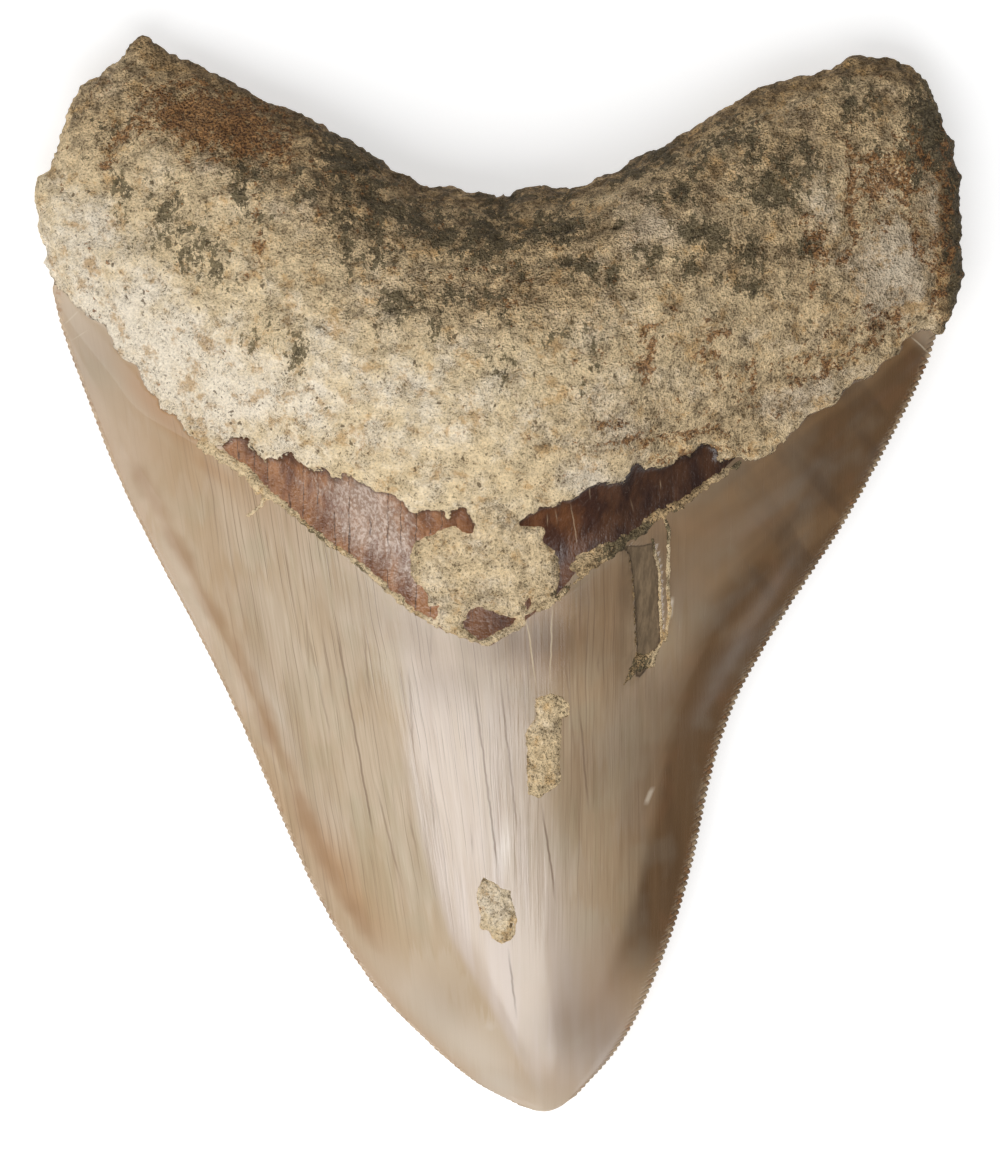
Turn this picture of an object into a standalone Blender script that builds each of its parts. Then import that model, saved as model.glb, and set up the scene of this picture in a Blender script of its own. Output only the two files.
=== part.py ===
"""Megalodon tooth, a fossil lying on its flat labial face with the lingual face up.

Frame: metres, +Z up, +X to the right and +Y from the tip to the root. The origin is in the middle
of the tooth's box, on the surface that it rests on.

The tooth grew as one piece, so it is one solid: a loft of rows that run from the left side to the
right side, and climb from the tip, over the V of the neck, to the arched top of the root. Each row
has a lingual (upper) and a labial (lower) height. Crusts of hardened sand lie on it as solids of
their own.
"""

import math

import bmesh
import bpy
import numpy as np
from mathutils import Vector, noise
from mathutils.bvhtree import BVHTree

MM = 0.001  # lengths below are in millimetres, and the mesh is in metres

# ---------------------------------------------------------------- driving dimensions, millimetres

# The outline, seen from above. Sides run up from the tip, and lines across run left to right.
LEFT_CUTTING_EDGE = [
    (3.2, -74.0), (-4.1, -69.9), (-11.6, -63.2), (-17.8, -56.5), (-24.2, -46.4), (-29.1, -36.3),
    (-33.3, -26.3), (-37.8, -16.2), (-42.8, -6.1), (-48.2, 4.0), (-53.1, 14.1), (-57.1, 24.2),
    (-60.8, 34.2), (-62.3, 39.8),
]
RIGHT_CUTTING_EDGE = [
    (10.5, -72.7), (16.0, -66.6), (20.0, -59.9), (24.1, -49.8), (27.0, -39.7), (29.1, -29.6),
    (30.9, -22.9), (33.5, -16.2), (37.2, -9.5), (41.4, -2.7), (48.0, 7.4), (53.6, 17.4),
    (58.7, 27.5), (61.3, 34.5),
]
LEFT_ROOT_SIDE = [
    (-62.3, 39.8), (-62.0, 43.8), (-63.4, 47.7), (-64.0, 52.0), (-63.1, 55.2), (-60.6, 58.3),
    (-60.5, 61.1), (-59.4, 64.5), (-57.7, 67.8), (-53.5, 71.2), (-49.8, 74.7),
]
RIGHT_ROOT_SIDE = [
    (61.3, 34.5), (62.7, 37.9), (64.0, 44.0), (63.6, 51.0), (63.3, 56.1), (62.2, 61.1),
    (60.6, 64.5), (59.6, 67.7), (56.8, 70.4),
]
TIP = [(3.2, -74.0), (5.0, -74.6), (6.9, -74.7), (8.7, -74.0), (10.5, -72.7)]
NECK = [
    (-62.3, 39.8), (-59.2, 34.5), (-54.2, 28.2), (-50.3, 23.3), (-43.3, 19.1), (-36.3, 14.9),
    (-29.3, 8.6), (-23.0, 4.0), (-16.0, -1.9), (-9.7, -5.8), (-5.5, -7.8), (-1.5, -9.2),
    (2.9, -6.4), (7.8, -3.6), (14.1, 0.6), (21.1, 7.2), (28.1, 12.4), (33.7, 16.0), (42.1, 20.5),
    (49.1, 25.8), (54.7, 30.6), (61.3, 34.5),
]
ROOT_ARCH = [
    (-49.8, 74.7), (-46.3, 72.2), (-39.6, 69.8), (-32.9, 65.7), (-26.2, 62.8), (-19.5, 58.9),
    (-12.7, 54.5), (-8.3, 53.1), (-2.7, 52.7), (0.7, 51.7), (4.1, 53.0), (10.8, 53.6),
    (17.5, 56.5), (24.2, 60.0), (30.9, 63.9), (37.7, 67.6), (44.4, 69.7), (51.1, 71.8),
    (56.8, 70.4),
]

# The crest runs up the lingual face. Stations run from the tip (0) over the neck (1) to the arch (2).
CREST_STATION = [0.0, 0.12, 0.3, 0.6, 0.85, 1.0, 2.0]
CREST_ACROSS = [0.52, 0.64, 0.58, 0.51, 0.475, 0.475, 0.5]

# The crown's section: a lens with sharp edges. Shares run from the tip (0) to the neck (1).
CROWN_SHARE = [0.0, 0.05, 0.15, 0.30, 0.50, 0.75, 1.0]
CROWN_EDGE_HEIGHT = [4.6, 4.6, 4.8, 5.0, 5.2, 5.6, 6.4]  # of the cutting edge over the floor
CROWN_LINGUAL_RISE = [0.1, 1.5, 3.9, 6.8, 9.9, 13.0, 15.0]  # of the middle over the edge
CROWN_LENS_POWER = 1.15  # over 1, the flanks are slightly hollow near the edge
LABIAL_TIP_SHARE = 0.28  # the labial face leaves the floor over this share, towards the tip
LABIAL_FLAT = 0.30  # how much deeper than the floor the labial bow would reach before it is flat
EDGE_THICKNESS = 0.36  # of the cutting edge itself

# The root's section. Shares run from the neck (0) to the arch (1), and from the middle (0) to the
# sides (1).
ROOT_SHARE = [0.0, 0.12, 0.30, 0.50, 1.0]
ROOT_SWELL = [0.62, 0.66, 0.86, 1.0, 1.0]  # share of the full rise, growing up from the neck
ROOT_ACROSS = [0.0, 0.3, 0.6, 0.85, 1.0]
ROOT_RISE = [22.0, 20.0, 14.5, 10.5, 8.5]  # of the lingual side over the rim
ROOT_RIM_HEIGHT = [8.5, 8.2, 7.0, 6.6, 6.4]  # of the rim over the floor
ROOT_SIDE_POWER = 5.0  # the higher, the squarer the root's sides
ROOT_TOP_POWER = 4.0  # the higher, the squarer the root's top
ROOT_BLEND = 0.28  # share of the root over which the crown's section turns into the root's
LABIAL_HOLLOW = 1.6  # of the root's labial middle over the floor
RIM_THICKNESS = 2.0  # of the root's rim
ROOT_RELIEF = 0.45  # of the root's uneven surface
RELIEF_SIZE = 7.0
RELIEF_START = 0.3  # share of the root over which its unevenness grows to its full height
FACES_APART = 3.0  # in the noise that makes the two faces uneven, so that they differ

# The grid.
CROWN_ROWS = 27
ROOT_ROWS = 16
COLUMNS = 40
COLUMN_CROWDING = 0.55  # 0 spreads the columns evenly, and 1 crowds them most beside the edges
SHARP_ANGLE = math.radians(50)

# Crusts of hardened sand.
GAP = 0.35  # kept to the tooth
PATCH_THICKNESS = 1.1
PATCH_RIM = 0.3  # share of the thickness that a patch has at its rim
SEAM_RADIUS = 0.45
NECK_PATCH = [
    (-11.8, 5.1), (-12.3, 2.5), (-12.2, 0.2), (-11.1, -1.2), (-10.1, -2.2), (-9.2, -4.1),
    (-8.8, -6.4), (-7.8, -7.4), (-5.5, -8.3), (-2.7, -9.3), (-1.3, -9.7), (0.0, -8.5),
    (3.6, -6.9), (5.0, -4.6), (7.7, -3.4), (8.6, 0.0), (8.1, 2.9), (6.2, 4.7), (5.2, 7.1),
    (0.0, 7.8), (-3.2, 7.2), (-5.0, 6.1), (-7.1, 6.5),
]
UPPER_PATCH = [
    (5.0, -16.9), (6.6, -16.5), (8.8, -16.7), (9.8, -18.6), (8.9, -20.6), (8.6, -24.0),
    (8.7, -28.5), (7.1, -29.9), (5.5, -30.9), (4.1, -30.2), (3.9, -25.9), (3.7, -21.9),
    (4.6, -19.5),
]
LOWER_PATCH = [
    (-2.1, -41.9), (0.1, -43.0), (1.7, -44.3), (2.4, -47.0), (2.2, -49.6), (0.3, -51.3),
    (-1.5, -49.9), (-2.6, -48.4), (-3.1, -45.4), (-2.9, -43.2),
]
LEFT_SEAM = [
    (-40.5, 18.0), (-36.1, 15.2), (-32.6, 11.6), (-28.8, 8.9), (-22.8, 4.3), (-16.4, -1.1),
    (-13.3, -3.9), (-10.9, -5.4),
]
RIGHT_SEAM = [(33.2, 15.8), (28.7, 12.7), (22.0, 8.6), (17.1, 4.7), (12.6, 2.3), (9.9, -0.4)]
SEAM_STEP = 1.5  # between points along a seam
PATCH_SEGMENTS = 28
PATCH_RINGS = 8
ABOVE_ALL = 100.0  # a height over every point of the tooth

# Colours and roughness of the two materials.
FOSSIL = (0.55, 0.43, 0.31)
FOSSIL_ROUGHNESS = 0.35
SAND = (0.53, 0.42, 0.27)
SAND_ROUGHNESS = 0.95


# ------------------------------------------------------------------------------- small functions


def smooth_line(points, steps=8):
    """A Catmull-Rom curve through the points, as an array of points close together."""
    points = np.array(points, float)
    ends = [2 * points[0] - points[1]], points, [2 * points[-1] - points[-2]]
    p = np.concatenate(ends)
    share = np.linspace(0, 1, steps, endpoint=False)[:, None]
    pieces = []
    for a, b, c, d in zip(p, p[1:], p[2:], p[3:]):
        linear = (c - a) * share
        square = (2 * a - 5 * b + 4 * c - d) * share**2
        cube = (3 * b - a - 3 * c + d) * share**3
        pieces.append(b + 0.5 * (linear + square + cube))
    return np.concatenate(pieces + [points[-1:]])


def spread(line, count):
    """Points evenly spaced along a line, ends included."""
    length = np.concatenate([[0], np.cumsum(np.linalg.norm(np.diff(line, axis=0), axis=1))])
    wanted = np.linspace(0, length[-1], count)
    return np.stack([np.interp(wanted, length, line[:, axis]) for axis in (0, 1)], axis=1)


def bow_of(line, across):
    """How far a line across the tooth leaves the straight line between its ends."""
    line = smooth_line(line)
    x = line[0, 0] + across * (line[-1, 0] - line[0, 0])
    straight = line[0, 1] + across * (line[-1, 1] - line[0, 1])
    return np.interp(x, line[:, 0], line[:, 1]) - straight


def ease(low, high, value):
    """0 below low, 1 above high, and a smooth step between them."""
    share = np.clip((value - low) / (high - low), 0, 1)
    return share * share * (3 - 2 * share)


def ramp(value, at, levels):
    """Values read from a smooth curve through a few levels."""
    curve = smooth_line(np.stack([at, levels], axis=1))
    return np.interp(value, curve[:, 0], curve[:, 1])


def plain_material(name, colour, roughness):
    material = bpy.data.materials.new(name)
    material.use_nodes = True
    surface = material.node_tree.nodes["Principled BSDF"]
    surface.inputs["Base Color"].default_value = (*colour, 1)
    surface.inputs["Roughness"].default_value = roughness
    surface.inputs["Metallic"].default_value = 0.0
    material.diffuse_color = (*colour, 1)
    return material


def add_object(name, mesh, material):
    mesh.materials.append(material)
    made = bpy.data.objects.new(name, mesh)
    tooth_collection.objects.link(made)
    return made


# ------------------------------------------------------------------------------------- the tooth


def rows_of_outline():
    """The grid of points seen from above, as arrays of x and y with a row for each step up.

    The columns stand closer together near the sides, where the section bends most.
    """
    step = np.linspace(0, 1, COLUMNS + 1)
    crowded = 0.5 - 0.5 * np.cos(np.pi * step)
    across = (1 - COLUMN_CROWDING) * step + COLUMN_CROWDING * crowded
    left = np.concatenate([
        spread(smooth_line(LEFT_CUTTING_EDGE), CROWN_ROWS + 1),
        spread(smooth_line(LEFT_ROOT_SIDE), ROOT_ROWS + 1)[1:],
    ])
    right = np.concatenate([
        spread(smooth_line(RIGHT_CUTTING_EDGE), CROWN_ROWS + 1),
        spread(smooth_line(RIGHT_ROOT_SIDE), ROOT_ROWS + 1)[1:],
    ])
    crown = np.clip(np.arange(CROWN_ROWS + ROOT_ROWS + 1) / CROWN_ROWS, 0, 1)[:, None]
    root = np.clip((np.arange(CROWN_ROWS + ROOT_ROWS + 1) - CROWN_ROWS) / ROOT_ROWS, 0, 1)[:, None]
    tip_bow, neck_bow, arch_bow = (bow_of(line, across) for line in (TIP, NECK, ROOT_ARCH))
    bow = np.where(
        root > 0,
        (1 - root) * neck_bow + root * arch_bow,
        (1 - crown) * tip_bow + crown * neck_bow,
    )
    x = left[:, :1] + across * (right - left)[:, :1]
    y = left[:, 1:] + across * (right - left)[:, 1:] + bow
    return x, y, np.broadcast_to(across, x.shape), crown, root


def from_crest(across, station):
    """The share across, shifted so that the crest is always at one half."""
    crest = ramp(station, CREST_STATION, CREST_ACROSS)
    return across ** (np.log(0.5) / np.log(crest))


def heights(across, crown, root):
    """The heights of the lingual and the labial face."""
    side = np.abs(2 * from_crest(across, crown + root) - 1)
    lens = (1 - side**2) ** CROWN_LENS_POWER
    blend = ease(0, ROOT_BLEND, root)
    rim = (1 - blend) * ramp(crown, CROWN_SHARE, CROWN_EDGE_HEIGHT)
    rim = rim + blend * ramp(side, ROOT_ACROSS, ROOT_RIM_HEIGHT)
    half_rim = 0.5 * (EDGE_THICKNESS + blend * (RIM_THICKNESS - EDGE_THICKNESS))

    round_sides = np.sqrt(1 - side**ROOT_SIDE_POWER)
    round_top = np.sqrt(1 - root**ROOT_TOP_POWER)
    swell = ramp(root, ROOT_SHARE, ROOT_SWELL) * ramp(side, ROOT_ACROSS, ROOT_RISE)
    crown_rise = ramp(crown, CROWN_SHARE, CROWN_LINGUAL_RISE) * lens
    rise = (1 - blend) * crown_rise + blend * swell * round_sides * round_top

    tip = ease(0, LABIAL_TIP_SHARE, crown)
    crown_drop = rim * (1 + LABIAL_FLAT) * tip * lens
    root_drop = (rim - LABIAL_HOLLOW * (1 - side**2) ** 2 + LABIAL_FLAT) * round_sides * round_top
    drop = (1 - blend) * crown_drop + blend * root_drop
    return rim + half_rim + rise, np.maximum(rim - half_rim - drop, 0)


def relief(x, y, face):
    """The unevenness of the root at a point."""
    return noise.noise(Vector((x / RELIEF_SIZE, y / RELIEF_SIZE, FACES_APART * face)))


def make_tooth():
    """The whole tooth: a flat block of a grid's shape, each of whose points is moved into place."""
    x, y, across, crown, root = rows_of_outline()
    upper, lower = heights(across, crown, root)
    rows = CROWN_ROWS + ROOT_ROWS

    block = bmesh.new()
    bmesh.ops.create_grid(block, x_segments=COLUMNS, y_segments=rows, size=0.5)
    block.verts.ensure_lookup_table()
    column_of = [round((v.co.x + 0.5) * COLUMNS) for v in block.verts]
    row_of = [round((v.co.y + 0.5) * rows) for v in block.verts]
    column_layer = block.verts.layers.int.new("column")
    row_layer = block.verts.layers.int.new("row")
    for vert, column, row in zip(block.verts, column_of, row_of):
        vert[column_layer] = column
        vert[row_layer] = row
    raised = bmesh.ops.extrude_face_region(block, geom=block.faces[:])["geom"]
    top = {item for item in raised if isinstance(item, bmesh.types.BMVert)}

    for vert in block.verts:
        row, column = vert[row_layer], vert[column_layer]
        lingual = vert in top
        height = (upper if lingual else lower)[row, column]
        px, py = x[row, column], y[row, column]
        inside = ease(0, RELIEF_START, float(root[row, 0])) * (0 < column < COLUMNS) * (row < rows)
        if height > 0:
            height = max(height + ROOT_RELIEF * inside * relief(px, py, lingual), 0)
        vert.co = Vector((px, py, height)) * MM
    bmesh.ops.recalc_face_normals(block, faces=block.faces)

    mesh = bpy.data.meshes.new("tooth")
    block.to_mesh(mesh)
    block.free()
    mesh.shade_smooth()
    mesh.set_sharp_from_angle(angle=SHARP_ANGLE)
    return add_object("tooth", mesh, plain_material("fossil tooth", FOSSIL, FOSSIL_ROUGHNESS))


# ------------------------------------------------------------------------------- crusts of sand


def surface_under(tree, x, y):
    """The point of the lingual face straight below a place, and the way it faces."""
    point, facing, _, _ = tree.ray_cast(Vector((x, y, ABOVE_ALL)) * MM, Vector((0, 0, -1)))
    return point / MM, facing


def reach_of(outline, centre, angle):
    """How far an outline lies from its centre in the direction of an angle."""
    offsets = np.array(outline) - centre
    angles = np.arctan2(offsets[:, 1], offsets[:, 0])
    order = np.argsort(angles)
    return np.interp(
        angle, angles[order], np.linalg.norm(offsets[order], axis=1), period=2 * np.pi
    )


def make_patch(name, outline, tree, material):
    """A thin crust: a sphere pressed flat on the tooth, with its equator on the outline."""
    centre = np.mean(outline, axis=0)
    ball = bmesh.new()
    bmesh.ops.create_uvsphere(
        ball, u_segments=PATCH_SEGMENTS, v_segments=PATCH_RINGS, radius=1.0
    )
    for vert in ball.verts:
        reach = reach_of(outline, centre, math.atan2(vert.co.y, vert.co.x))
        x, y = centre + reach * np.array(vert.co.xy)
        share = PATCH_RIM + (1 - PATCH_RIM) * vert.co.z
        thickness = PATCH_THICKNESS * share if vert.co.z > -0.01 else 0
        point, _ = surface_under(tree, x, y)
        vert.co = (point + Vector((0, 0, GAP + thickness))) * MM
    mesh = bpy.data.meshes.new(name)
    ball.to_mesh(mesh)
    ball.free()
    mesh.shade_smooth()
    return add_object(name, mesh, material)


def make_seam(name, route, tree, material):
    """A rope of sand along the line where the crown meets the neck."""
    line = smooth_line(route)
    length = np.linalg.norm(np.diff(line, axis=0), axis=1).sum()
    stations = spread(line, round(length / SEAM_STEP) + 1)
    curve = bpy.data.curves.new(name, "CURVE")
    curve.dimensions = "3D"
    curve.bevel_depth = SEAM_RADIUS * MM
    curve.bevel_resolution = 2
    curve.use_fill_caps = True
    spline = curve.splines.new("POLY")
    spline.points.add(len(stations) - 1)
    for point, (x, y) in zip(spline.points, stations):
        ground, facing = surface_under(tree, x, y)
        point.co = (*((ground + facing * (SEAM_RADIUS + GAP)) * MM), 1)
    curve.materials.append(material)
    made = bpy.data.objects.new(name, curve)
    tooth_collection.objects.link(made)
    return made


def sand_material(name):
    return plain_material(name, SAND, SAND_ROUGHNESS)


def make_crusts(tooth):
    bpy.context.view_layer.update()
    tree = BVHTree.FromObject(tooth, bpy.context.evaluated_depsgraph_get())
    patches = {
        "neck_sand_patch": NECK_PATCH,
        "crown_sand_patch_upper": UPPER_PATCH,
        "crown_sand_patch_lower": LOWER_PATCH,
    }
    for name, outline in patches.items():
        make_patch(name, outline, tree, sand_material(name))
    seams = {"neck_sand_seam_left": LEFT_SEAM, "neck_sand_seam_right": RIGHT_SEAM}
    for name, route in seams.items():
        make_seam(name, route, tree, sand_material(name))


for old in list(bpy.data.objects):
    bpy.data.objects.remove(old)
tooth_collection = bpy.data.collections.new("megalodon tooth")
bpy.context.scene.collection.children.link(tooth_collection)
make_crusts(make_tooth())
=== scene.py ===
# %% [markdown]
# # A fossil megalodon tooth
# This lesson builds the tooth of a giant shark: a glossy crown with serrated cutting edges, a dark
# band at the neck, and a rough root that still carries sand from the sea bed. The construction was
# made beforehand as plain solids. They are loaded here as a fixed frame, and everything in this
# file gives them their real surface. The tooth lies on its flat side, with its tip towards -Y.

# %% Load the frame
import math
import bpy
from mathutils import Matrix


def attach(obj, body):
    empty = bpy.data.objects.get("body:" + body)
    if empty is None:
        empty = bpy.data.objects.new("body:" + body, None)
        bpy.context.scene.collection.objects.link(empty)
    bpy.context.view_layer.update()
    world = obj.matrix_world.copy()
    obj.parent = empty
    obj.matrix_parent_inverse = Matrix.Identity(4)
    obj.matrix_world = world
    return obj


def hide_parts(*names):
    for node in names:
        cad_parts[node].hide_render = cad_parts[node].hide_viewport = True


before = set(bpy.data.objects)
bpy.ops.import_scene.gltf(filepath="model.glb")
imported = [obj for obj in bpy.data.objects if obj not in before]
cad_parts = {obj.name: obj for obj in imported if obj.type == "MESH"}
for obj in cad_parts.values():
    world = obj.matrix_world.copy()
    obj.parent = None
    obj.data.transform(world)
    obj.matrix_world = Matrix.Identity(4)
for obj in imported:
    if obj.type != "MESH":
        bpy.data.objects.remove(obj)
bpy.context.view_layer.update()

from types import SimpleNamespace

import bmesh
import bpy
import numpy as np
from mathutils import Vector, noise
from mathutils.bvhtree import BVHTree

MM = 0.001  # the tooth is measured in millimetres here, and meshes are in metres
print("frame nodes:", len(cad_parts))

# %% [markdown]
# ## The outline
# Seen from above, a tooth is bounded by two cutting edges that meet at the tip, by the rough sides
# of the root's two lobes, and by the arch between them. One more line matters: the V of the neck,
# where enamel ends. Each is a short list of points in millimetres.

# %% Lines of the outline
LEFT_CUTTING_EDGE = [
    (3.2, -74), (-4.1, -69.9), (-11.6, -63.2), (-17.8, -56.5), (-24.2, -46.4), (-29.1, -36.3),
    (-33.3, -26.3), (-37.8, -16.2), (-42.8, -6.1), (-48.2, 4), (-53.1, 14.1), (-57.1, 24.2),
    (-60.8, 34.2), (-62.3, 39.8),
]
RIGHT_CUTTING_EDGE = [
    (10.5, -72.7), (16, -66.6), (20, -59.9), (24.1, -49.8), (27, -39.7), (29.1, -29.6),
    (30.9, -22.9), (33.5, -16.2), (37.2, -9.5), (41.4, -2.7), (48, 7.4), (53.6, 17.4), (58.7, 27.5),
    (61.3, 34.5),
]
LEFT_ROOT_SIDE = [
    (-62.3, 39.8), (-62, 43.8), (-63.4, 47.7), (-63.8, 52), (-63.1, 55.2), (-60.6, 58.3),
    (-60.5, 61.1), (-59.4, 64.5), (-57.7, 67.8), (-53.5, 71.2), (-49.8, 74.5),
]
RIGHT_ROOT_SIDE = [
    (61.3, 34.5), (62.7, 37.9), (63.8, 44), (63.5, 51), (63.2, 56.1), (62.2, 61.1), (60.6, 64.5),
    (59.6, 67.7), (56.8, 70.4),
]
TIP = [(3.2, -74), (5, -74.6), (6.9, -74.7), (8.7, -74), (10.5, -72.7)]
NECK = [
    (-62.3, 39.8), (-59.2, 34.5), (-54.2, 28.2), (-50.3, 23.3), (-43.3, 19.1), (-36.3, 14.9),
    (-29.3, 8.6), (-23, 4), (-16, -1.9), (-9.7, -5.8), (-5.5, -7.8), (-1.5, -9.2), (2.9, -6.4),
    (7.8, -3.6), (14.1, 0.6), (21.1, 7.2), (28.1, 12.4), (33.7, 16), (42.1, 20.5), (49.1, 25.8),
    (54.7, 30.6), (61.3, 34.5),
]
ROOT_ARCH = [
    (-49.8, 74.5), (-46.3, 72.2), (-39.6, 69.8), (-32.9, 65.7), (-26.2, 62.8), (-19.5, 58.9),
    (-12.7, 54.5), (-8.3, 53.1), (-2.7, 52.7), (0.7, 51.7), (4.1, 53), (10.8, 53.6), (17.5, 56.5),
    (24.2, 60), (30.9, 63.9), (37.7, 67.6), (44.4, 69.7), (51.1, 71.8), (56.8, 70.4),
]

# %% [markdown]
# ## Smooth curves
# The editor would draw these lines as curve objects, but here their points are also needed as
# numbers. A Catmull-Rom spline passes through its points, so a list can be read off a real tooth.

# %% Curves through points
def smooth_line(points, steps=8):
    """A Catmull-Rom curve through the points, as an array of points close together."""
    points = np.array(points, float)
    ends = [2 * points[0] - points[1]], points, [2 * points[-1] - points[-2]]
    p = np.concatenate(ends)
    share = np.linspace(0, 1, steps, endpoint=False)[:, None]
    pieces = []
    for a, b, c, d in zip(p, p[1:], p[2:], p[3:]):
        linear = (c - a) * share
        square = (2 * a - 5 * b + 4 * c - d) * share**2
        cube = (3 * b - a - 3 * c + d) * share**3
        pieces.append(b + 0.5 * (linear + square + cube))
    return np.concatenate(pieces + [points[-1:]])


def read_curve(value, at, levels):
    """Values read from a smooth curve through a few levels."""
    curve = smooth_line(np.stack([at, levels], axis=1))
    return np.interp(value, curve[:, 0], curve[:, 1])


def point_along(line, share):
    """The points at shares of a line's length."""
    length = lengths_along(line)
    wanted = share * length[-1]
    return np.stack([np.interp(wanted, length, line[:, axis]) for axis in (0, 1)], axis=-1)


def lengths_along(line):
    return np.concatenate([[0], np.cumsum(np.linalg.norm(np.diff(line, axis=0), axis=1))])


left_edge, right_edge, left_side, right_side = (
    smooth_line(points)
    for points in (LEFT_CUTTING_EDGE, RIGHT_CUTTING_EDGE, LEFT_ROOT_SIDE, RIGHT_ROOT_SIDE)
)
for side, line in (("left", left_edge), ("right", right_edge)):
    print(f"{side} cutting edge: {lengths_along(line)[-1]:.1f} mm")

# %% [markdown]
# ## Stations
# Every point of the tooth gets an address. Its station climbs from 0 at the tip to 1 at the neck and
# 2 at the arch of the root. Its share across runs from 0 at the left side to 1 at the right. A row at
# one station is the straight line between the two sides plus a bow, which turns from the small curve
# of the tip into the V of the neck and then into the arch. Wear, grooves and colours can all be
# placed by address, so they follow the tooth's own growth.

# %% From an address to a place
MARGIN = 1.6  # width of the strip beside each side whose columns stand a fixed way apart
MARGIN_COLUMNS, MIDDLE_COLUMNS = 4, 56
COLUMNS = MIDDLE_COLUMNS + 2 * MARGIN_COLUMNS
MARGIN_SHARE = MARGIN_COLUMNS / COLUMNS


def ease(low, high, value):
    """0 below low, 1 above high, and a smooth step between them."""
    share = np.clip((value - low) / (high - low), 0, 1)
    return share * share * (3 - 2 * share)


def crown_and_root(station):
    """How far a station has climbed through the crown and through the root, 0 to 1 each."""
    return np.clip(station, 0, 1), np.clip(station - 1, 0, 1)


def bow_of(points, across):
    """How far a line across the tooth leaves the straight line between its ends."""
    line = smooth_line(points)
    x = line[0, 0] + across * (line[-1, 0] - line[0, 0])
    straight = line[0, 1] + across * (line[-1, 1] - line[0, 1])
    return np.interp(x, line[:, 0], line[:, 1]) - straight


def sides_at(station):
    """The ends of the row at a station."""
    crown, root = crown_and_root(station)
    low = (station <= 1)[..., None]
    left = np.where(low, point_along(left_edge, crown), point_along(left_side, root))
    right = np.where(low, point_along(right_edge, crown), point_along(right_side, root))
    return left, right


def across_of(column, width):
    """A column's share across: evenly spread, but a fixed way apart beside the edges."""
    strip = MARGIN / width
    low = column / MARGIN_SHARE * strip
    middle = strip + (column - MARGIN_SHARE) / (1 - 2 * MARGIN_SHARE) * (1 - strip - strip)
    high = 1 - (1 - column) / MARGIN_SHARE * strip
    return np.where(column < MARGIN_SHARE, low, np.where(column > 1 - MARGIN_SHARE, high, middle))


def place(across, station):
    """Where an address lies, seen from above."""
    left, right = sides_at(station)
    crown, root = crown_and_root(station)
    tip_bow, neck_bow, arch_bow = (bow_of(line, across) for line in (TIP, NECK, ROOT_ARCH))
    crown_bow = (1 - crown) * tip_bow + crown * neck_bow
    root_bow = (1 - root) * neck_bow + root * arch_bow
    straight = left + across[:, None] * (right - left)
    return straight[:, 0], straight[:, 1] + np.where(root > 0, root_bow, crown_bow)


# %% [markdown]
# ## The section
# The crown's section is a lens: a bowed lingual face over a labial face that is flat in the middle
# and turns up to the edges. The root swells above the neck and has round sides. Both faces are
# heights over the floor, worked out from the address.

# %% Heights of the two faces
CROWN_SHARE = [0.0, 0.05, 0.15, 0.30, 0.50, 0.75, 1.0]
CROWN_EDGE_HEIGHT = [4.6, 4.6, 4.8, 5.0, 5.2, 5.6, 6.4]
CROWN_LINGUAL_RISE = [0.1, 1.5, 3.9, 6.8, 9.9, 13.0, 15.0]
CROWN_LENS_POWER = 1.15
LABIAL_TIP_SHARE = 0.28  # the labial face leaves the tip's edge over this share of the crown
LABIAL_FLAT = 0.30
EDGE_THICKNESS, RIM_THICKNESS = 0.22, 0.8  # of the cutting edge and of the root's side
ROOT_SHARE = [0.0, 0.12, 0.30, 0.50, 1.0]
ROOT_SWELL = [0.62, 0.66, 0.86, 1.0, 1.0]
ROOT_ACROSS = [0.0, 0.3, 0.6, 0.85, 1.0]  # 0 at the crest and 1 at either side
ROOT_RISE = [21.4, 19.6, 14.3, 10.4, 8.4]
ROOT_RIM_HEIGHT = [8.5, 8.2, 7.0, 6.6, 6.4]
ROOT_SIDE_POWER, ROOT_TOP_POWER = 5.0, 4.0
ROOT_BLEND = 0.28  # the crown's section turns into the root's over this share of the root
LABIAL_HOLLOW = 1.6
CREST_STATION = [0.0, 0.12, 0.3, 0.6, 0.85, 1.0, 2.0]
CREST_ACROSS = [0.52, 0.64, 0.58, 0.51, 0.475, 0.475, 0.5]


def from_crest(across, station):
    """The share across, shifted so that the crest is always at one half."""
    crest = read_curve(station, CREST_STATION, CREST_ACROSS)
    return np.clip(across, 0, 1) ** (np.log(0.5) / np.log(crest))


def heights(across, station):
    """The heights of the lingual and the labial face."""
    crown, root = crown_and_root(station)
    side = np.abs(2 * from_crest(across, station) - 1)
    lens = (1 - side**2) ** CROWN_LENS_POWER
    blend = ease(0, ROOT_BLEND, root)
    rim = (1 - blend) * read_curve(crown, CROWN_SHARE, CROWN_EDGE_HEIGHT)
    rim = rim + blend * read_curve(side, ROOT_ACROSS, ROOT_RIM_HEIGHT)
    half_rim = 0.5 * (EDGE_THICKNESS + blend * (RIM_THICKNESS - EDGE_THICKNESS))

    round_sides = np.sqrt(1 - side**ROOT_SIDE_POWER)
    round_top = np.sqrt(1 - root**ROOT_TOP_POWER)
    swell = read_curve(root, ROOT_SHARE, ROOT_SWELL) * read_curve(side, ROOT_ACROSS, ROOT_RISE)
    crown_rise = read_curve(crown, CROWN_SHARE, CROWN_LINGUAL_RISE) * lens
    rise = (1 - blend) * crown_rise + blend * swell * round_sides * round_top

    tip = ease(0, LABIAL_TIP_SHARE, crown)
    crown_drop = rim * (1 + LABIAL_FLAT) * tip * lens
    root_drop = (rim - LABIAL_HOLLOW * (1 - side**2) ** 2 + LABIAL_FLAT) * round_sides * round_top
    drop = (1 - blend) * crown_drop + blend * root_drop
    return rim + half_rim + rise, np.maximum(rim - half_rim - drop, 0)


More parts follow.
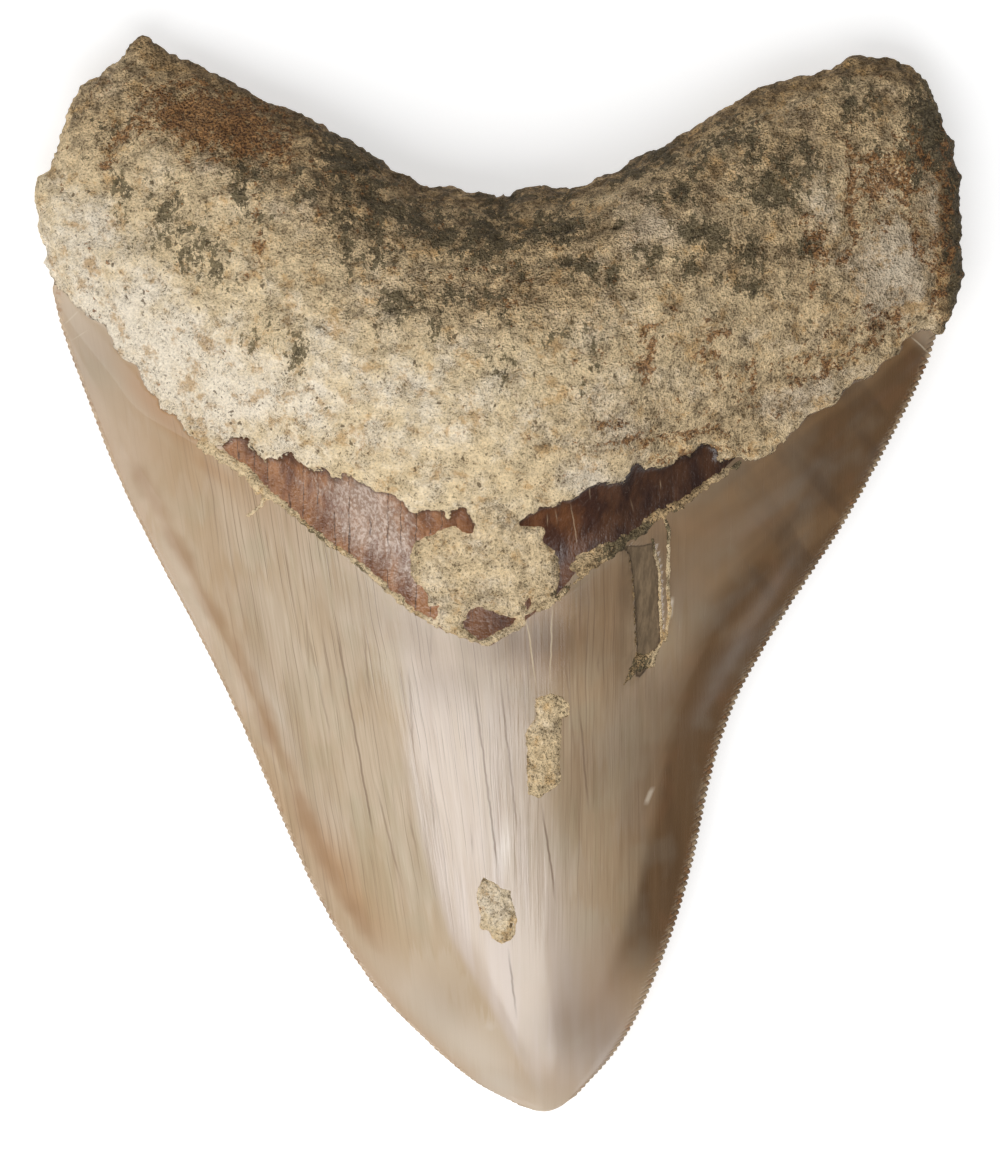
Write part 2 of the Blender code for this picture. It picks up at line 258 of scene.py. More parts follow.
# %% [markdown]
# ## A block in address space
# The tooth starts as a flat block whose X is the share across and whose Y is the station. The
# editor's own tools work on it there: a grid is extruded to a closed block, and subdivision puts
# points where the real tooth has small shapes. That is the strip along each cutting edge, where
# every serration needs five points, and the rough root. Only then is each point moved to its place.

# %% The block
SERRATIONS = 142  # along each cutting edge, one row of the grid for each
ROOT_ROWS = 46
ROOT_ROW_POWER = 1.35  # rows stand closer together towards the arch, where the root turns down
ROWS = SERRATIONS + ROOT_ROWS
ROUGH_FROM = 0.955  # the station from which the lingual face is divided finely
FURROW_COLUMNS, FURROW_FROM = (0.62, 0.82), 0.78  # where a flake of the enamel is missing
LABIAL, LINGUAL = 0.0, 1.0
HAIR = 1e-4  # less than any gap between two rows or columns


def address_block():
    block = bmesh.new()
    bmesh.ops.create_grid(block, x_segments=COLUMNS, y_segments=ROWS, size=0.5)
    row_share = np.arange(ROOT_ROWS + 1) / ROOT_ROWS
    root_stations = 2 - (1 - row_share) ** ROOT_ROW_POWER
    stations = np.concatenate([np.arange(SERRATIONS) / SERRATIONS, root_stations])
    for vert in block.verts:
        row = round((vert.co.y + 0.5) * ROWS)
        vert.co = (round((vert.co.x + 0.5) * COLUMNS) / COLUMNS, stations[row], LABIAL)
    raised = bmesh.ops.extrude_face_region(block, geom=block.faces[:])["geom"]
    for item in raised:
        if isinstance(item, bmesh.types.BMVert):
            item.co.z = LINGUAL
    bmesh.ops.recalc_face_normals(block, faces=block.faces)
    return block


def divide(block, cuts, wanted):
    """Cuts the edges that a test picks."""
    edges = [edge for edge in block.edges if wanted(*(vert.co for vert in edge.verts))]
    bmesh.ops.subdivide_edges(block, edges=edges, cuts=cuts, use_grid_fill=True)


# %% [markdown]
# ## Fine where it matters
# In the editor one would select these edges by eye. Each test below gets the two ends of an edge
# and says whether it lies where small shapes will come.

# %% Which edges are divided
def on_lingual_root(a, b):
    return min(a.z, b.z) == LINGUAL and min(a.y, b.y) > ROUGH_FROM


def on_labial_root(a, b):
    return max(a.z, b.z) == LABIAL and min(a.y, b.y) > 1 - HAIR


def on_furrow(a, b):
    low, high = min(a.x, b.x), max(a.x, b.x)
    beside = low > FURROW_COLUMNS[0] and high < FURROW_COLUMNS[1]
    return min(a.z, b.z) == LINGUAL and beside and min(a.y, b.y) > FURROW_FROM


def on_cutting_edge(a, b):
    near = MARGIN_SHARE + HAIR
    beside = max(a.x, b.x) <= near or min(a.x, b.x) >= 1 - near
    upright = abs(a.x - b.x) < HAIR and a.z == b.z
    return beside and upright and max(a.y, b.y) <= 1 + HAIR and not on_lingual_root(a, b)


block = address_block()
divide(block, 3, on_cutting_edge)
divide(block, 3, lambda a, b: on_lingual_root(a, b) or on_furrow(a, b))
divide(block, 1, on_labial_root)
bmesh.ops.triangulate(block, faces=[face for face in block.faces if len(face.verts) > 4])
tooth_mesh = bpy.data.meshes.new("tooth surface")
block.to_mesh(tooth_mesh)
block.free()
tooth_mesh.calc_loop_triangles()
print("triangles:", len(tooth_mesh.loop_triangles))

# %% [markdown]
# ## From the block to the tooth
# All points are read into arrays at once, because a hundred thousand of them are moved in a
# moment that way. The mesh then says which way each point faces, and relief will follow that way.

# %% Addresses and places of all points
address = np.empty(len(tooth_mesh.vertices) * 3, np.float32)
tooth_mesh.vertices.foreach_get("co", address)
column, station, face = address.reshape(-1, 3).astype(float).T
left_ends, right_ends = sides_at(station)
width = np.linalg.norm(right_ends - left_ends, axis=1)
across = across_of(column, width)
x, y = place(across, station)
seen = np.stack([x, y], axis=1)  # each point's place seen from above
lingual = face == LINGUAL
upper, lower = heights(across, station)
z = np.where(lingual, upper, lower)


def move_points(x, y, z):
    """Puts every point of the tooth in its place and returns the way each of them faces."""
    places = np.stack([x, y, z], axis=1).ravel().astype(np.float32) * MM
    tooth_mesh.vertices.foreach_set("co", places)
    tooth_mesh.update()
    facing = np.empty(len(tooth_mesh.vertices) * 3, np.float32)
    tooth_mesh.vertices.foreach_get("normal", facing)
    spans = [f"{values.min():.1f} to {values.max():.1f}" for values in (x, y, z)]
    print("tooth, mm:", ", ".join(spans))
    return facing.reshape(-1, 3).astype(float)


facing = move_points(x, y, z)

# %% [markdown]
# ## Borders as distances
# Three skins meet on a tooth: the enamel of the crown, the dark band at the neck, and the sandy skin
# of the root. A painter would mask them off. Here each border is a line, and every point of the mesh
# remembers how far it is from that line, positive on one side and negative on the other. The
# surface can then step up at the border, and the material can turn from one skin to the next, and
# both agree, because they read the same distance.

# %% Lines of the borders
CRUST_EDGE = [
    (-64.8, 41.8), (-62, 41.2), (-59.9, 38.7), (-58.2, 37.2), (-57.1, 35.9), (-54.6, 35.4),
    (-54, 33.5), (-53.8, 31.4), (-51.9, 30.3), (-50.3, 29.5), (-49.6, 27.2), (-48.2, 25.4),
    (-47.2, 23.6), (-44.9, 21.8), (-43.3, 20.1), (-41, 18.8), (-39.2, 16.9), (-38.6, 18.3),
    (-37, 19.5), (-34.9, 19.4), (-34.7, 17.6), (-32.8, 16.3), (-30.7, 16.2), (-30, 17),
    (-28.8, 17.3), (-28.1, 15.9), (-26, 14.8), (-23.8, 15.2), (-23.2, 13.4), (-21.7, 14.1),
    (-18.9, 13), (-17.2, 12.1), (-14.3, 11.4), (-13, 9.9), (-11.5, 8.5), (-10.5, 9.3), (-7.6, 9),
    (-6.9, 8.2), (-6.4, 9.2), (-5.2, 9.5), (-4.1, 8.8), (-3.2, 7.6), (-2.7, 5.8), (2.2, 5.8),
    (2.8, 7.8), (5.2, 9.3), (6.9, 9.9), (8.3, 9.7), (8.8, 10.7), (10.2, 10.6), (11.5, 12.1),
    (13.9, 13), (17.4, 12.7), (18.1, 15.8), (22.4, 14.9), (25.2, 16.7), (26.9, 16.7), (27.9, 18.6),
    (29.5, 18.6), (30.5, 15.8), (33.2, 16.7), (35.8, 16.3), (38.9, 18), (42.6, 22.1), (46.6, 23.9),
    (49.3, 27.4), (51.7, 27.7), (52.5, 28.4), (53.2, 29.9), (55.6, 31.2), (55.9, 32.7),
    (57.1, 32.8), (57.5, 33.5), (58.8, 34.7), (61.2, 33.8), (66.6, 33.4),
]
NECK_LINE = [
    (-66, 50), (-58, 44), (-50, 36), (-43.5, 27), (-39.6, 19.5), (-36.1, 15.2), (-34.4, 13.8),
    (-32.6, 11.4), (-30.7, 10.7), (-28, 8.2), (-24.2, 5), (-21.4, 3.2), (-17.8, 0.4), (-14.4, -2.7),
    (-11.6, -5), (-7.8, -7.4), (-2.7, -9.3), (-1.3, -9.7), (1.4, -7.9), (8.1, -2.5), (11.8, 1.9),
    (17.1, 4.7), (19.7, 6.5), (22, 8.6), (25.2, 10), (28.7, 12.7), (32.6, 16.2), (37, 22), (44, 30),
    (54, 40), (66, 44),
]
LABIAL_NECK = [
    (-66, 43), (-56, 33), (-42, 26.5), (-25, 20.5), (-8, 16), (2, 15.2), (16, 17.5), (32, 23),
    (48, 29), (58, 33), (66, 37),
]
ABOVE = [(90, 120), (-90, 120)]  # closes an outline around everything above a line


# %% Distances to lines and outlines
def distance_to(points, line, closed=False):
    """How far each point is from a line of straight pieces."""
    line = np.array(line, float)
    nearest = np.full(len(points), np.inf)
    for a, b in zip(line, np.roll(line, -1, axis=0)[: None if closed else -1]):
        along = np.clip(((points - a) @ (b - a)) / ((b - a) @ (b - a)), 0, 1)
        nearest = np.minimum(nearest, np.linalg.norm(points - a - along[:, None] * (b - a), axis=1))
    return nearest


def inside(points, outline):
    """Which points an outline holds: a ray from each one crosses it an odd number of times."""
    px, py = points.T
    odd = np.zeros(len(points), bool)
    outline = np.array(outline, float)
    for (ax, ay), (bx, by) in zip(outline, np.roll(outline, -1, axis=0)):
        if ay != by:
            crosses = (ay > py) != (by > py)
            odd ^= crosses & (px < (bx - ax) * (py - ay) / (by - ay) + ax)
    return odd


def depth_in(points, outline):
    """How deep each point lies inside an outline, negative outside it."""
    distance = distance_to(points, outline, closed=True)
    return np.where(inside(points, outline), distance, -distance)


def height_over(points, line):
    """How far each point lies above a line that runs from left to right."""
    distance = distance_to(points, line)
    return np.where(inside(points, line + ABOVE), distance, -distance)


# %% [markdown]
# ## Ragged borders
# No border in nature is a clean line. Fractal noise moves it to and fro a little: large waves with
# smaller and smaller waves on them. The labial side isn't shown so closely, so one soft line does
# for both of its borders.

# %% Distances of the tooth's points
RAGGED_SIZE, RAGGED_REACH = 2.0, 0.55
LABIAL_RAGGED = 2.0  # how much more ragged the borders of the labial side are


def uneven(places, size, octaves, seed=0.0):
    """Fractal noise of a given size at many places, about -1 to 1."""
    shift = Vector((seed, 2 * seed, -seed))
    return np.array([noise.fractal(Vector(p) / size + shift, 0.9, 2.0, octaves) for p in places])


everywhere = np.stack([x, y, z], axis=1)
ragged = RAGGED_REACH * uneven(everywhere, RAGGED_SIZE, 4, seed=5.0)
labial_neck = height_over(seen, LABIAL_NECK) + LABIAL_RAGGED * ragged
crust = np.where(lingual, height_over(seen, CRUST_EDGE) + ragged, labial_neck)
neck = np.where(lingual, height_over(seen, NECK_LINE), labial_neck)
print("points on the root's skin:", int((crust > 0).sum()), "of", len(crust))

# %% [markdown]
# ## Relief
# The root grew as a spongy mass of bone-like dentine, and the sea bed filled it with sand. Its skin
# is lumpy at every scale and stands a little proud of the neck band, like old plaster. Fissures and
# grooves are lines that push the skin in. The crown is smooth.

# %% Relief of the root
RELIEF = ((9.0, 0.55, 2), (3.4, 0.55, 2), (1.3, 0.42, 3))  # size, height and octaves of each layer
CRUST_STEP = 0.85
# A fissure is its line, its half width and its depth, and rust has gathered in it.
FISSURES = (
    ([(48.6, 59.5), (49, 54.7), (48.2, 50.5), (49.8, 47.1), (47.3, 43.8)], 0.75, 0.7),
    ([(59.2, 58.5), (61.6, 54.7), (61.8, 44.6), (60, 38)], 0.9, 0.5),
    ([(54, 58.3), (56.1, 51.3), (57.8, 48.8), (58.6, 43.8)], 0.8, 0.4),
    ([(40.6, 27.7), (44, 27.6), (47.3, 30.2), (52.4, 33), (55.5, 36.8)], 0.7, 0.5),
    ([(20.3, 34.2), (21.1, 31), (19.9, 27.5)], 0.9, 0.6),
    ([(29.3, 34.5), (29.7, 30.6), (30.1, 28)], 0.5, 0.5),
    ([(14.5, 18.9), (22, 19.6), (28, 20.9), (32.5, 20.5)], 0.65, 0.5),
    ([(12.7, 21.4), (17.5, 21.4)], 0.5, 0.3), ([(42.3, 49), (44, 43.8), (43.1, 39.6)], 0.8, 0.35),
    ([(24, 16.4), (29.5, 17.9), (34.5, 17.6)], 0.6, 0.35),
    ([(33, 31), (35.5, 27), (34.5, 23.5)], 0.5, 0.3),
    ([(-33.9, 52.5), (-33.2, 46), (-34.6, 41.5)], 0.5, 0.3),
    ([(-49, 63.2), (-53.2, 60.6), (-54.6, 57)], 0.9, 0.4),
)
# Grooves are the same, but they stayed clean.
GROOVES = (
    ([(-35.6, 59), (-35.4, 51.5)], 0.7, 0.3), ([(12.4, 40), (13.2, 36), (12.6, 29.5)], 0.3, 0.4),
    ([(-24, 55.5), (-22, 50), (-21.5, 44)], 0.8, 0.35),
    ([(-18.5, 54.5), (-17.6, 48), (-18, 42)], 0.8, 0.35),
    ([(-9, 43.5), (4, 43), (16, 44.5), (26, 48.5)], 1.3, 0.45),
)

on_root = ease(0.0, 0.8, crust)
bumps = on_root * sum(
    height * uneven(everywhere, size, octaves, seed=size) for size, height, octaves in RELIEF
)
in_fissure = np.zeros(len(seen))
for line, half_width, depth in FISSURES + GROOVES:
    apart = distance_to(seen, line) + 0.6 * uneven(everywhere, RAGGED_SIZE, 3, seed=depth)
    bumps = bumps - depth * ease(half_width, 0.0, apart) * lingual
    if (line, half_width, depth) in FISSURES:
        in_fissure = np.maximum(in_fissure, ease(2.2 * half_width, 0.3 * half_width, apart))
rise = bumps + CRUST_STEP * ease(0.0, 0.5, crust) * lingual
print(f"relief of the root, mm: {bumps.min():.2f} to {bumps.max():.2f}")

# %% [markdown]
# ## The furrow and the pits
# Beside the neck a flake of enamel is missing, which leaves a flat-bottomed furrow. Its floor is as
# far down as the enamel was thick. In the root a few pits have lost their filling. A sculptor would
# press them in with a brush, and here the distance from each middle does the same.

# %% The furrow and the pits
FURROW = [
    (16.9, 4.3), (19.9, 4.3), (21.4, 4.7), (22.3, 0.8), (22.5, -3.3), (22.7, -8.9), (21.1, -12.8),
    (18.6, -15.1), (19.3, -11.7), (19, -6.1), (18.8, -1.9), (18.2, 2.9),
]
FURROW_DEPTH = 0.55
# A pit is its place, its reach both ways and its depth.
PITS = (
    (54.4, 36.9, 2.2, 1.2, 1.8), (52.6, 35.4, 1.6, 1, 1.3), (51.2, 33.4, 1.2, 0.8, 0.9),
    (56.9, 39, 1, 1.4, 0.8), (-32.7, 21.3, 0.5, 0.4, 0.6), (16.2, 48.1, 0.9, 0.5, 0.5),
    (16.2, 41.4, 1, 0.7, 0.5), (-14.4, 37, 1.8, 1.4, 0.35), (19.7, 29.5, 1, 1.2, 0.6),
)

furrow = depth_in(seen, FURROW)
rise = rise - FURROW_DEPTH * ease(-0.1, 0.35, furrow) * lingual
for pit_x, pit_y, reach_x, reach_y, depth in PITS:
    away = np.hypot((x - pit_x) / reach_x, (y - pit_y) / reach_y)
    rise = rise - depth * lingual * (1 - ease(0.3, 1.0, away))
print("points on the floor of the furrow:", int((lingual & (furrow > 0)).sum()))

# %% [markdown]
# ## Serrations
# A serration is a small bead of enamel on the cutting edge, a little under a millimetre long, with
# a notch on both sides and a faint flute running in from each notch. On the right they are sharp
# and lean towards the tip, and on the left they are worn low. Every row of the grid starts a new
# bead, so the fraction of a row is the place within the bead.

# %% How strongly each bead stands out
BEAD_POWER = 2.2
STRENGTH_LEFT = [0, 0.2, 0.5, 0.8, 0.95, 1.0], [0.6, 0.9, 1.0, 1.0, 0.8, 0.0]
STRENGTH_RIGHT = [0, 0.2, 0.5, 0.8, 0.97, 1.0], [0.5, 0.75, 1.0, 1.25, 1.2, 0.0]
WEAR = 0.6  # how much one bead's size differs from the next

edge_distance = np.minimum(across * width, (1 - across) * width)
on_left = across < 0.5
bead = 1 - np.abs(2 * (station * SERRATIONS % 1.0) - 1) ** BEAD_POWER
strength = np.where(
    on_left, read_curve(station, *STRENGTH_LEFT), read_curve(station, *STRENGTH_RIGHT)
)
number = np.floor(station * SERRATIONS)
beads = [Vector((n * 0.37, 9.0 * side, 0)) for n, side in zip(number, on_left)]
wear = np.array([noise.noise(bead_place) for bead_place in beads])
strength = strength * (station < 1) * (1 + WEAR * wear)

# %% The way each bead moves the points
BEAD_HEIGHT, BEAD_LEAN, FLUTE_DEPTH = 0.52, 0.08, 0.2
STEP = 0.004  # how far ahead and behind a station the edge's direction is measured

ahead, behind = (sides_at(np.clip(station + step, 0, 1)) for step in (STEP, -STEP))
run = np.where(on_left[:, None], ahead[0] - behind[0], ahead[1] - behind[1])
run = run / np.maximum(np.linalg.norm(run, axis=1), 1e-9)[:, None]
outward = np.stack([run[:, 1], -run[:, 0]], axis=1) * np.where(on_left, -1, 1)[:, None]
near_edge = np.clip(1 - edge_distance / MARGIN, 0, 1)
push = BEAD_HEIGHT * strength * (bead - 0.6) * near_edge**1.5
lean = -BEAD_LEAN * strength * bead * near_edge**2 * ~on_left
flute = -FLUTE_DEPTH * strength * (1 - bead) * near_edge**2 * ease(0.0, 0.25, edge_distance)
print(f"beads stand out by up to {push.max():.2f} mm")

# %% [markdown]
# ## Moving the points
# Relief moves a point along the way it faces, and a serration moves it along the plane of the
# cutting edge. Points of the labial face that lie on the floor stay on it. The finished mesh
# replaces the plain tooth of the frame and rides on the same body.

# %% Move the points
sideways = outward * push[:, None] + run * lean[:, None]
fall = facing * (rise + np.where(lingual, flute, 0.5 * flute))[:, None]
x, y, z = x + sideways[:, 0] + fall[:, 0], y + sideways[:, 1] + fall[:, 1], z + fall[:, 2]
z = np.where(lower + lingual > 0, np.maximum(z, 0), 0)
facing = move_points(x, y, z)
tooth_mesh.shade_smooth()
tooth = bpy.data.objects.new("tooth_body", tooth_mesh)
bpy.context.scene.collection.objects.link(tooth)
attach(tooth, "root")
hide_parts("tooth")

# %% [markdown]
# ## What the surface remembers
# The material reads numbers that are stored on the points of the mesh: the distances to the borders,
# the way the enamel grew, and how strongly each kind of stain shows. A stain is a soft oval, and a
# short list of them is enough, because the material breaks each one up with noise.

# %% Stains of the root
# A spot is its place, its reach both ways, its turn in degrees and its strength.
PALE_SPOTS = [
    (-48.9, 31.7, 11.2, 6.4, -40, 1), (-57.3, 44.3, 4.8, 5.6, 0, 0.8),
    (-37.7, 26.1, 7, 4.8, -30, 1), (-27.9, 24.7, 8.4, 5.6, -10, 0.65),
    (-11.1, 24.7, 9.8, 5.6, 0, 0.4), (-13.9, 17.7, 8.4, 2, -20, 0.5),
    (19.7, 48.8, 3.1, 2.2, 0, 0.9), (54.6, 43.2, 3.6, 4.2, 0, 1.15), (60.3, 51.3, 1.2, 6, 0, 1.2),
    (15.5, 34.5, 3.1, 2.2, 0, 0.4), (15.5, 21.9, 4.2, 4.2, 0, 0.5), (42.1, 25.4, 3.6, 1.3, 25, 0.9),
    (49.1, 28.9, 2.8, 1.1, 25, 0.5), (12.7, 13.5, 2.8, 1.7, 0, 0.7), (44.9, 50.6, 2.2, 2.8, 0, 0.5),
    (41.4, 62.5, 2.8, 1.4, 20, 0.4), (-30.7, 50.6, 2, 1.1, 0, 0.5), (-41.9, 57.6, 4.2, 1.7, 0, 0.3),
]
DUSK_SPOTS = [
    (-36.3, 62.5, 16.8, 5.6, -20, 1), (-54.5, 65.3, 7, 7, 0, 0.7), (-20.9, 54.1, 12.6, 7, -35, 0.9),
    (0.1, 47.8, 22.4, 5, 0, 0.88), (25.3, 54.1, 11.2, 5.6, 25, 0.8),
    (42.1, 61.1, 16.8, 7, 20, 0.78), (56.1, 66.7, 8.4, 7, 0, 0.75), (36.5, 45.7, 15.4, 7, 10, 0.7),
    (60.3, 52.7, 2.8, 12.6, 0, 0.9), (28.1, 34.5, 14, 7, 0, 0.5), (44.9, 34.5, 12.6, 4.2, 20, 0.6),
    (-8.3, 38.7, 11.2, 2.8, 0, 0.6), (14.1, 41.5, 11.2, 4.2, 0, 0.6),
    (26.7, 21.9, 9.8, 2.8, 10, 0.4), (-41.9, 52.7, 8.4, 7, 0, 0.4), (-33.5, 47.1, 8.4, 4.2, 0, 0.4),
    (48, 42, 20, 16, 30, 0.62), (24, 36, 16, 10, 0, 0.5), (36, 25, 18, 7, 25, 0.6),
    (63.2, 52, 1.6, 14, 0, 2.2), (2, 39.5, 18, 5, 0, 0.75), (20, 22, 12, 6, 20, 0.55),
    (56, 48, 6, 12, 0, 0.35),
]
STAIN_SPOTS = [
    (-52.2, 53.7, 1.1, 2.5, 0, 0.9), (-46.8, 49.9, 1.3, 3.1, -30, 0.9),
    (-43.3, 45.7, 2.8, 2.2, -30, 1), (-38.8, 42.8, 1.4, 2.4, 0, 0.95),
    (-45.4, 54.7, 1.7, 1.1, 0, 0.6), (-51.7, 61.4, 2, 1.4, 0, 0.5), (-35.6, 55, 1.1, 4.5, 0, 0.9),
    (-32.9, 49.2, 1.4, 2.5, 0, 0.6), (-22.3, 57.6, 2.8, 2, -40, 0.9),
    (-21.6, 50.6, 1.4, 6.3, 8, 0.8), (-17.8, 49.2, 1.3, 7, 5, 0.9), (-14.6, 47.1, 1, 4.2, 0, 0.7),
    (-12.2, 49.2, 1.7, 2, 0, 1), (-8.3, 47.1, 2.2, 2, 0, 0.9), (-1.3, 47.1, 2.8, 2.8, 0, 1),
    (3.1, 46.8, 1.4, 1.1, 0, 0.8), (8.5, 47.7, 3.4, 1.7, 0, 1), (16.2, 48.1, 1, 0.7, 0, 1),
    (16.2, 41.4, 1.3, 1, 0, 1), (12.2, 42.4, 1.7, 1.4, 0, 0.9), (9.2, 43.2, 1.1, 1.1, 0, 0.8),
    (-14.4, 36.9, 2, 1.8, 0, 1), (-9.2, 33.7, 1.1, 1.4, 0, 0.8), (-7.1, 38, 2, 1.1, 0, 0.7),
    (0.8, 37.3, 1.1, 2, 0, 0.8), (0.6, 28.6, 1.3, 2.1, 0, 1), (12.9, 32.1, 1.1, 2.8, 0, 0.8),
    (9.2, 33.1, 1.7, 1.1, 0, 0.7), (-27.4, 31.7, 1, 2.2, -15, 1), (-31.4, 33.8, 2, 2, 0, 0.6),
    (22.8, 58, 2, 1.4, 0, 0.8), (19, 55.8, 2, 1, 0, 0.8), (32.3, 60.4, 2.8, 1.1, 15, 0.9),
    (27.9, 55.9, 1.7, 1.7, 0, 0.6), (24.8, 52.3, 1.7, 1.4, 0, 0.9), (35.6, 57.5, 1.4, 1.4, 0, 0.8),
    (42.4, 58.5, 1.7, 1.4, 0, 0.9), (38.2, 53.8, 3.6, 2.5, 10, 1), (27.9, 47.4, 2.5, 1.4, -20, 1),
    (34.4, 44.6, 1.4, 1.7, 0, 0.9), (42.4, 46, 1.1, 1.1, 0, 0.9), (26.7, 42.1, 1, 1.1, 0, 1),
    (34, 40.5, 2, 1.3, 0, 1), (21.1, 44.6, 2, 1.1, 0, 0.9), (48.6, 65, 1.1, 2, 0, 0.8),
    (52.2, 66.3, 1.4, 1.1, 0, 0.7), (52.2, 58.7, 1, 1.3, 0, 0.9), (48.4, 67.8, 1.7, 0.7, 20, 0.7),
    (59.6, 63, 2, 5.5, -15, 1.5), (63.4, 50, 0.9, 12, 0, 1), (-27.9, 54.1, 3.4, 2, -30, 0.5),
    (-4.1, 38.7, 5.6, 1.7, 0, 0.5), (2.9, 42.2, 7, 1.7, 0, 0.5), (16.9, 45, 4.2, 1.4, 0, 0.4),
    (8.5, 52, 8.4, 0.8, 0, 0.4),
]
RUST_SPOTS = [
    (-38.8, 63.6, 4.8, 2, -15, 1), (-33.2, 61.1, 3.6, 1.1, -20, 0.9), (-44, 64.2, 1.7, 2.2, 0, 0.7),
    (-53.1, 62.8, 1.4, 2, 0, 0.6), (19.7, 29.5, 1, 1.4, 0, 0.9), (28.1, 31.7, 0.8, 2, 0, 0.8),
    (30.4, 34.1, 1.4, 0.7, 0, 0.9), (22.5, 35.9, 1.4, 0.8, 30, 0.7),
    (53.6, 55.8, 3.6, 3.4, 25, 1.1), (44.7, 46.6, 1, 2.2, 0, 1), (50.8, 49.2, 2, 1.4, 0, 0.7),
    (53.1, 35.2, 2.2, 1.1, 0, 1), (50.8, 33.1, 2, 0.8, 10, 0.9), (42.1, 30.3, 2.8, 0.8, 15, 0.6),
    (19.7, 19.1, 5.6, 1.1, 5, 0.7), (26.7, 17, 4.2, 1, 5, 0.8), (60.3, 45.7, 0.7, 5.6, 0, 0.8),
    (57.5, 59.7, 1.1, 2.8, 0, 0.8), (1.8, 38, 1.1, 0.8, 0, 0.8), (11.3, 27.8, 1.4, 2, 0, 0.4),
    (-57, 37, 1.1, 2, -40, 0.6), (-47.5, 25.4, 0.8, 1.1, 0, 0.5), (-56.1, 45.7, 1.4, 1.1, 0, 0.5),
    (-60.8, 57.6, 0.8, 2.2, 0, 0.6), (18.3, 31.7, 5.6, 1.4, 10, 0.4),
    (35.1, 21.9, 4.2, 1.4, 20, 0.4), (-20, 52, 9, 4, -30, 0.35), (2, 41, 14, 2, 0, 0.35),
    (-39.5, 62.9, 7.5, 2.8, -18, 1.5), (52, 56, 5, 8, 20, 0.24), (61.5, 55, 1.2, 11, 0, 0.7),
    (40, 30, 16, 3, 25, 0.3), (50, 36, 5, 2.5, 30, 0.5),
]


def spot_strength(points, spots):
    """The strongest of several soft ovals at each point."""
    strongest = np.zeros(len(points))
    for spot_x, spot_y, reach_x, reach_y, turn, strength in spots:
        away = points - (spot_x, spot_y)
        c, s = math.cos(math.radians(turn)), math.sin(math.radians(turn))
        along = (away[:, 0] * c + away[:, 1] * s) / reach_x
        off = (away[:, 1] * c - away[:, 0] * s) / reach_y
        strongest = np.maximum(strongest, strength * np.exp(-0.35 * (along**2 + off**2)))
    return strongest


# %% [markdown]
# ## Shades of the crown
# Enamel is tan where it is thick, brown on the right flank, amber where it is thin or stained, ash
# grey where it has weathered, and paler along the crest, where a highlight is painted on it too.
# Spots of the same kind do for the small places. The large ones follow the addresses, because
# they follow the shape of the tooth.

# %% Spots of the crown
AMBER_SPOTS = [
    (-33.9, -13.8, 13, 2, -69, 0.4), (-24, -38.5, 6, 1.5, -62, 1.1), (-20.5, -45, 5, 1.3, -58, 0.9),
    (-45.8, 22.6, 6, 1.8, -50, 1), (-35, 12, 7, 2.5, -37, 0.5), (39.3, 7.9, 6, 3, 50, 0.6),
    (-12, -62, 9, 3, -45, 0.4), (30, 8, 8, 2, 35, 0.5), (22, -30, 3, 10, -10, 0.4),
    (-38, -2, 7, 2, -65, 0.3), (-56.5, 18, 12, 1.6, -65, 0.4), (-46, 18, 9, 6, -50, 0.42),
    (-50, 18.5, 7, 4, -55, 0.55), (6, -70, 5, 2.5, 0, 0.5), (15, -60, 3, 8, -25, 0.6),
    (-47.6, 23.6, 6.5, 1.3, -47, 1.1), (-40, 15, 4, 1, -38, 0.8), (8.5, -7.5, 5, 4.5, 20, 0.6),
    (-6, -11, 6, 2.5, 0, 0.25),
]
ASH_SPOTS = [
    (-4.1, -65.6, 11, 2.2, -42, 1), (-24.5, -32.9, 4.5, 2, -60, 0.5), (-28, -8, 6, 10, 0, 0.25),
    (-56, 27, 8, 2.6, -65, 0.5), (59.6, 33.4, 2, 1.4, -45, 0.5), (-31, -19, 6, 0.9, -68, 0.8),
    (0.2, -70.9, 3.6, 1.9, -35, 1.15), (-11.8, -42, 1.8, 7, 14, 0.4), (-1.3, -62.8, 0.5, 0.5, 0, 1),
    (11.1, -64.9, 0.5, 0.5, 0, 0.7),
]
DARK_SPOTS = [
    (25.6, -37, 10, 1.6, 76, 0.55), (32.3, -8.9, 9, 2.2, 66, 0.5), (51.8, 21.7, 8, 3.5, 50, 0.35),
    (56.5, 28.5, 6, 3, 60, 0.4), (-31.5, -14, 12, 2, -69, 0.16), (40, 4, 8, 3, 45, 0.15),
    (-6, -14, 6, 3, 0, 0.34), (5, -70.5, 5, 2, 0, 0.2), (3.5, -9, 6.5, 3.6, 0, 0.62),
    (10.5, -2.5, 6, 4.5, 30, 0.32), (3, -15.5, 4.2, 4.8, 0, 0.38), (3, -24, 3, 6, 0, 0.16),
    (-12.5, -7.5, 7, 3, -38, 0.36), (13, -65, 6.5, 4, -15, 0.42), (-56.5, 30, 4, 5, -20, 0.26),
    (35, 14, 4.5, 3, 35, 0.12), (-6.5, -59.5, 3.2, 3, 0, 0.2),
]
LIGHT_SPOTS = [
    (14, -42, 3, 8, -15, 0.13), (59.6, 33.4, 2, 1.4, -45, 0.6), (9.5, -46, 4.4, 10, -5, 0.36),
    (21.5, -9, 2.2, 2.6, 0, 0.25), (40.5, 11.5, 6, 3, 35, 0.08), (53, 26.5, 3, 2, 50, 0.2),
    (8.5, -20, 2.4, 4, 0, 0.16), (13, -16.5, 3, 6, 0, 0.2),
]
# A sheen is painted on the left of the neck band.
PAINTED_SHEEN_SPOTS = [
    (-18.2, 9.6, 4.2, 2.6, -38, 1), (-19.3, 7, 3, 2, -42, 0.9), (-14.8, 5, 2.6, 2.2, -45, 0.85),
    (-12, 0.9, 1.9, 1.8, -45, 0.8), (-24.6, 12.2, 2.2, 1.2, -38, 0.5),
]
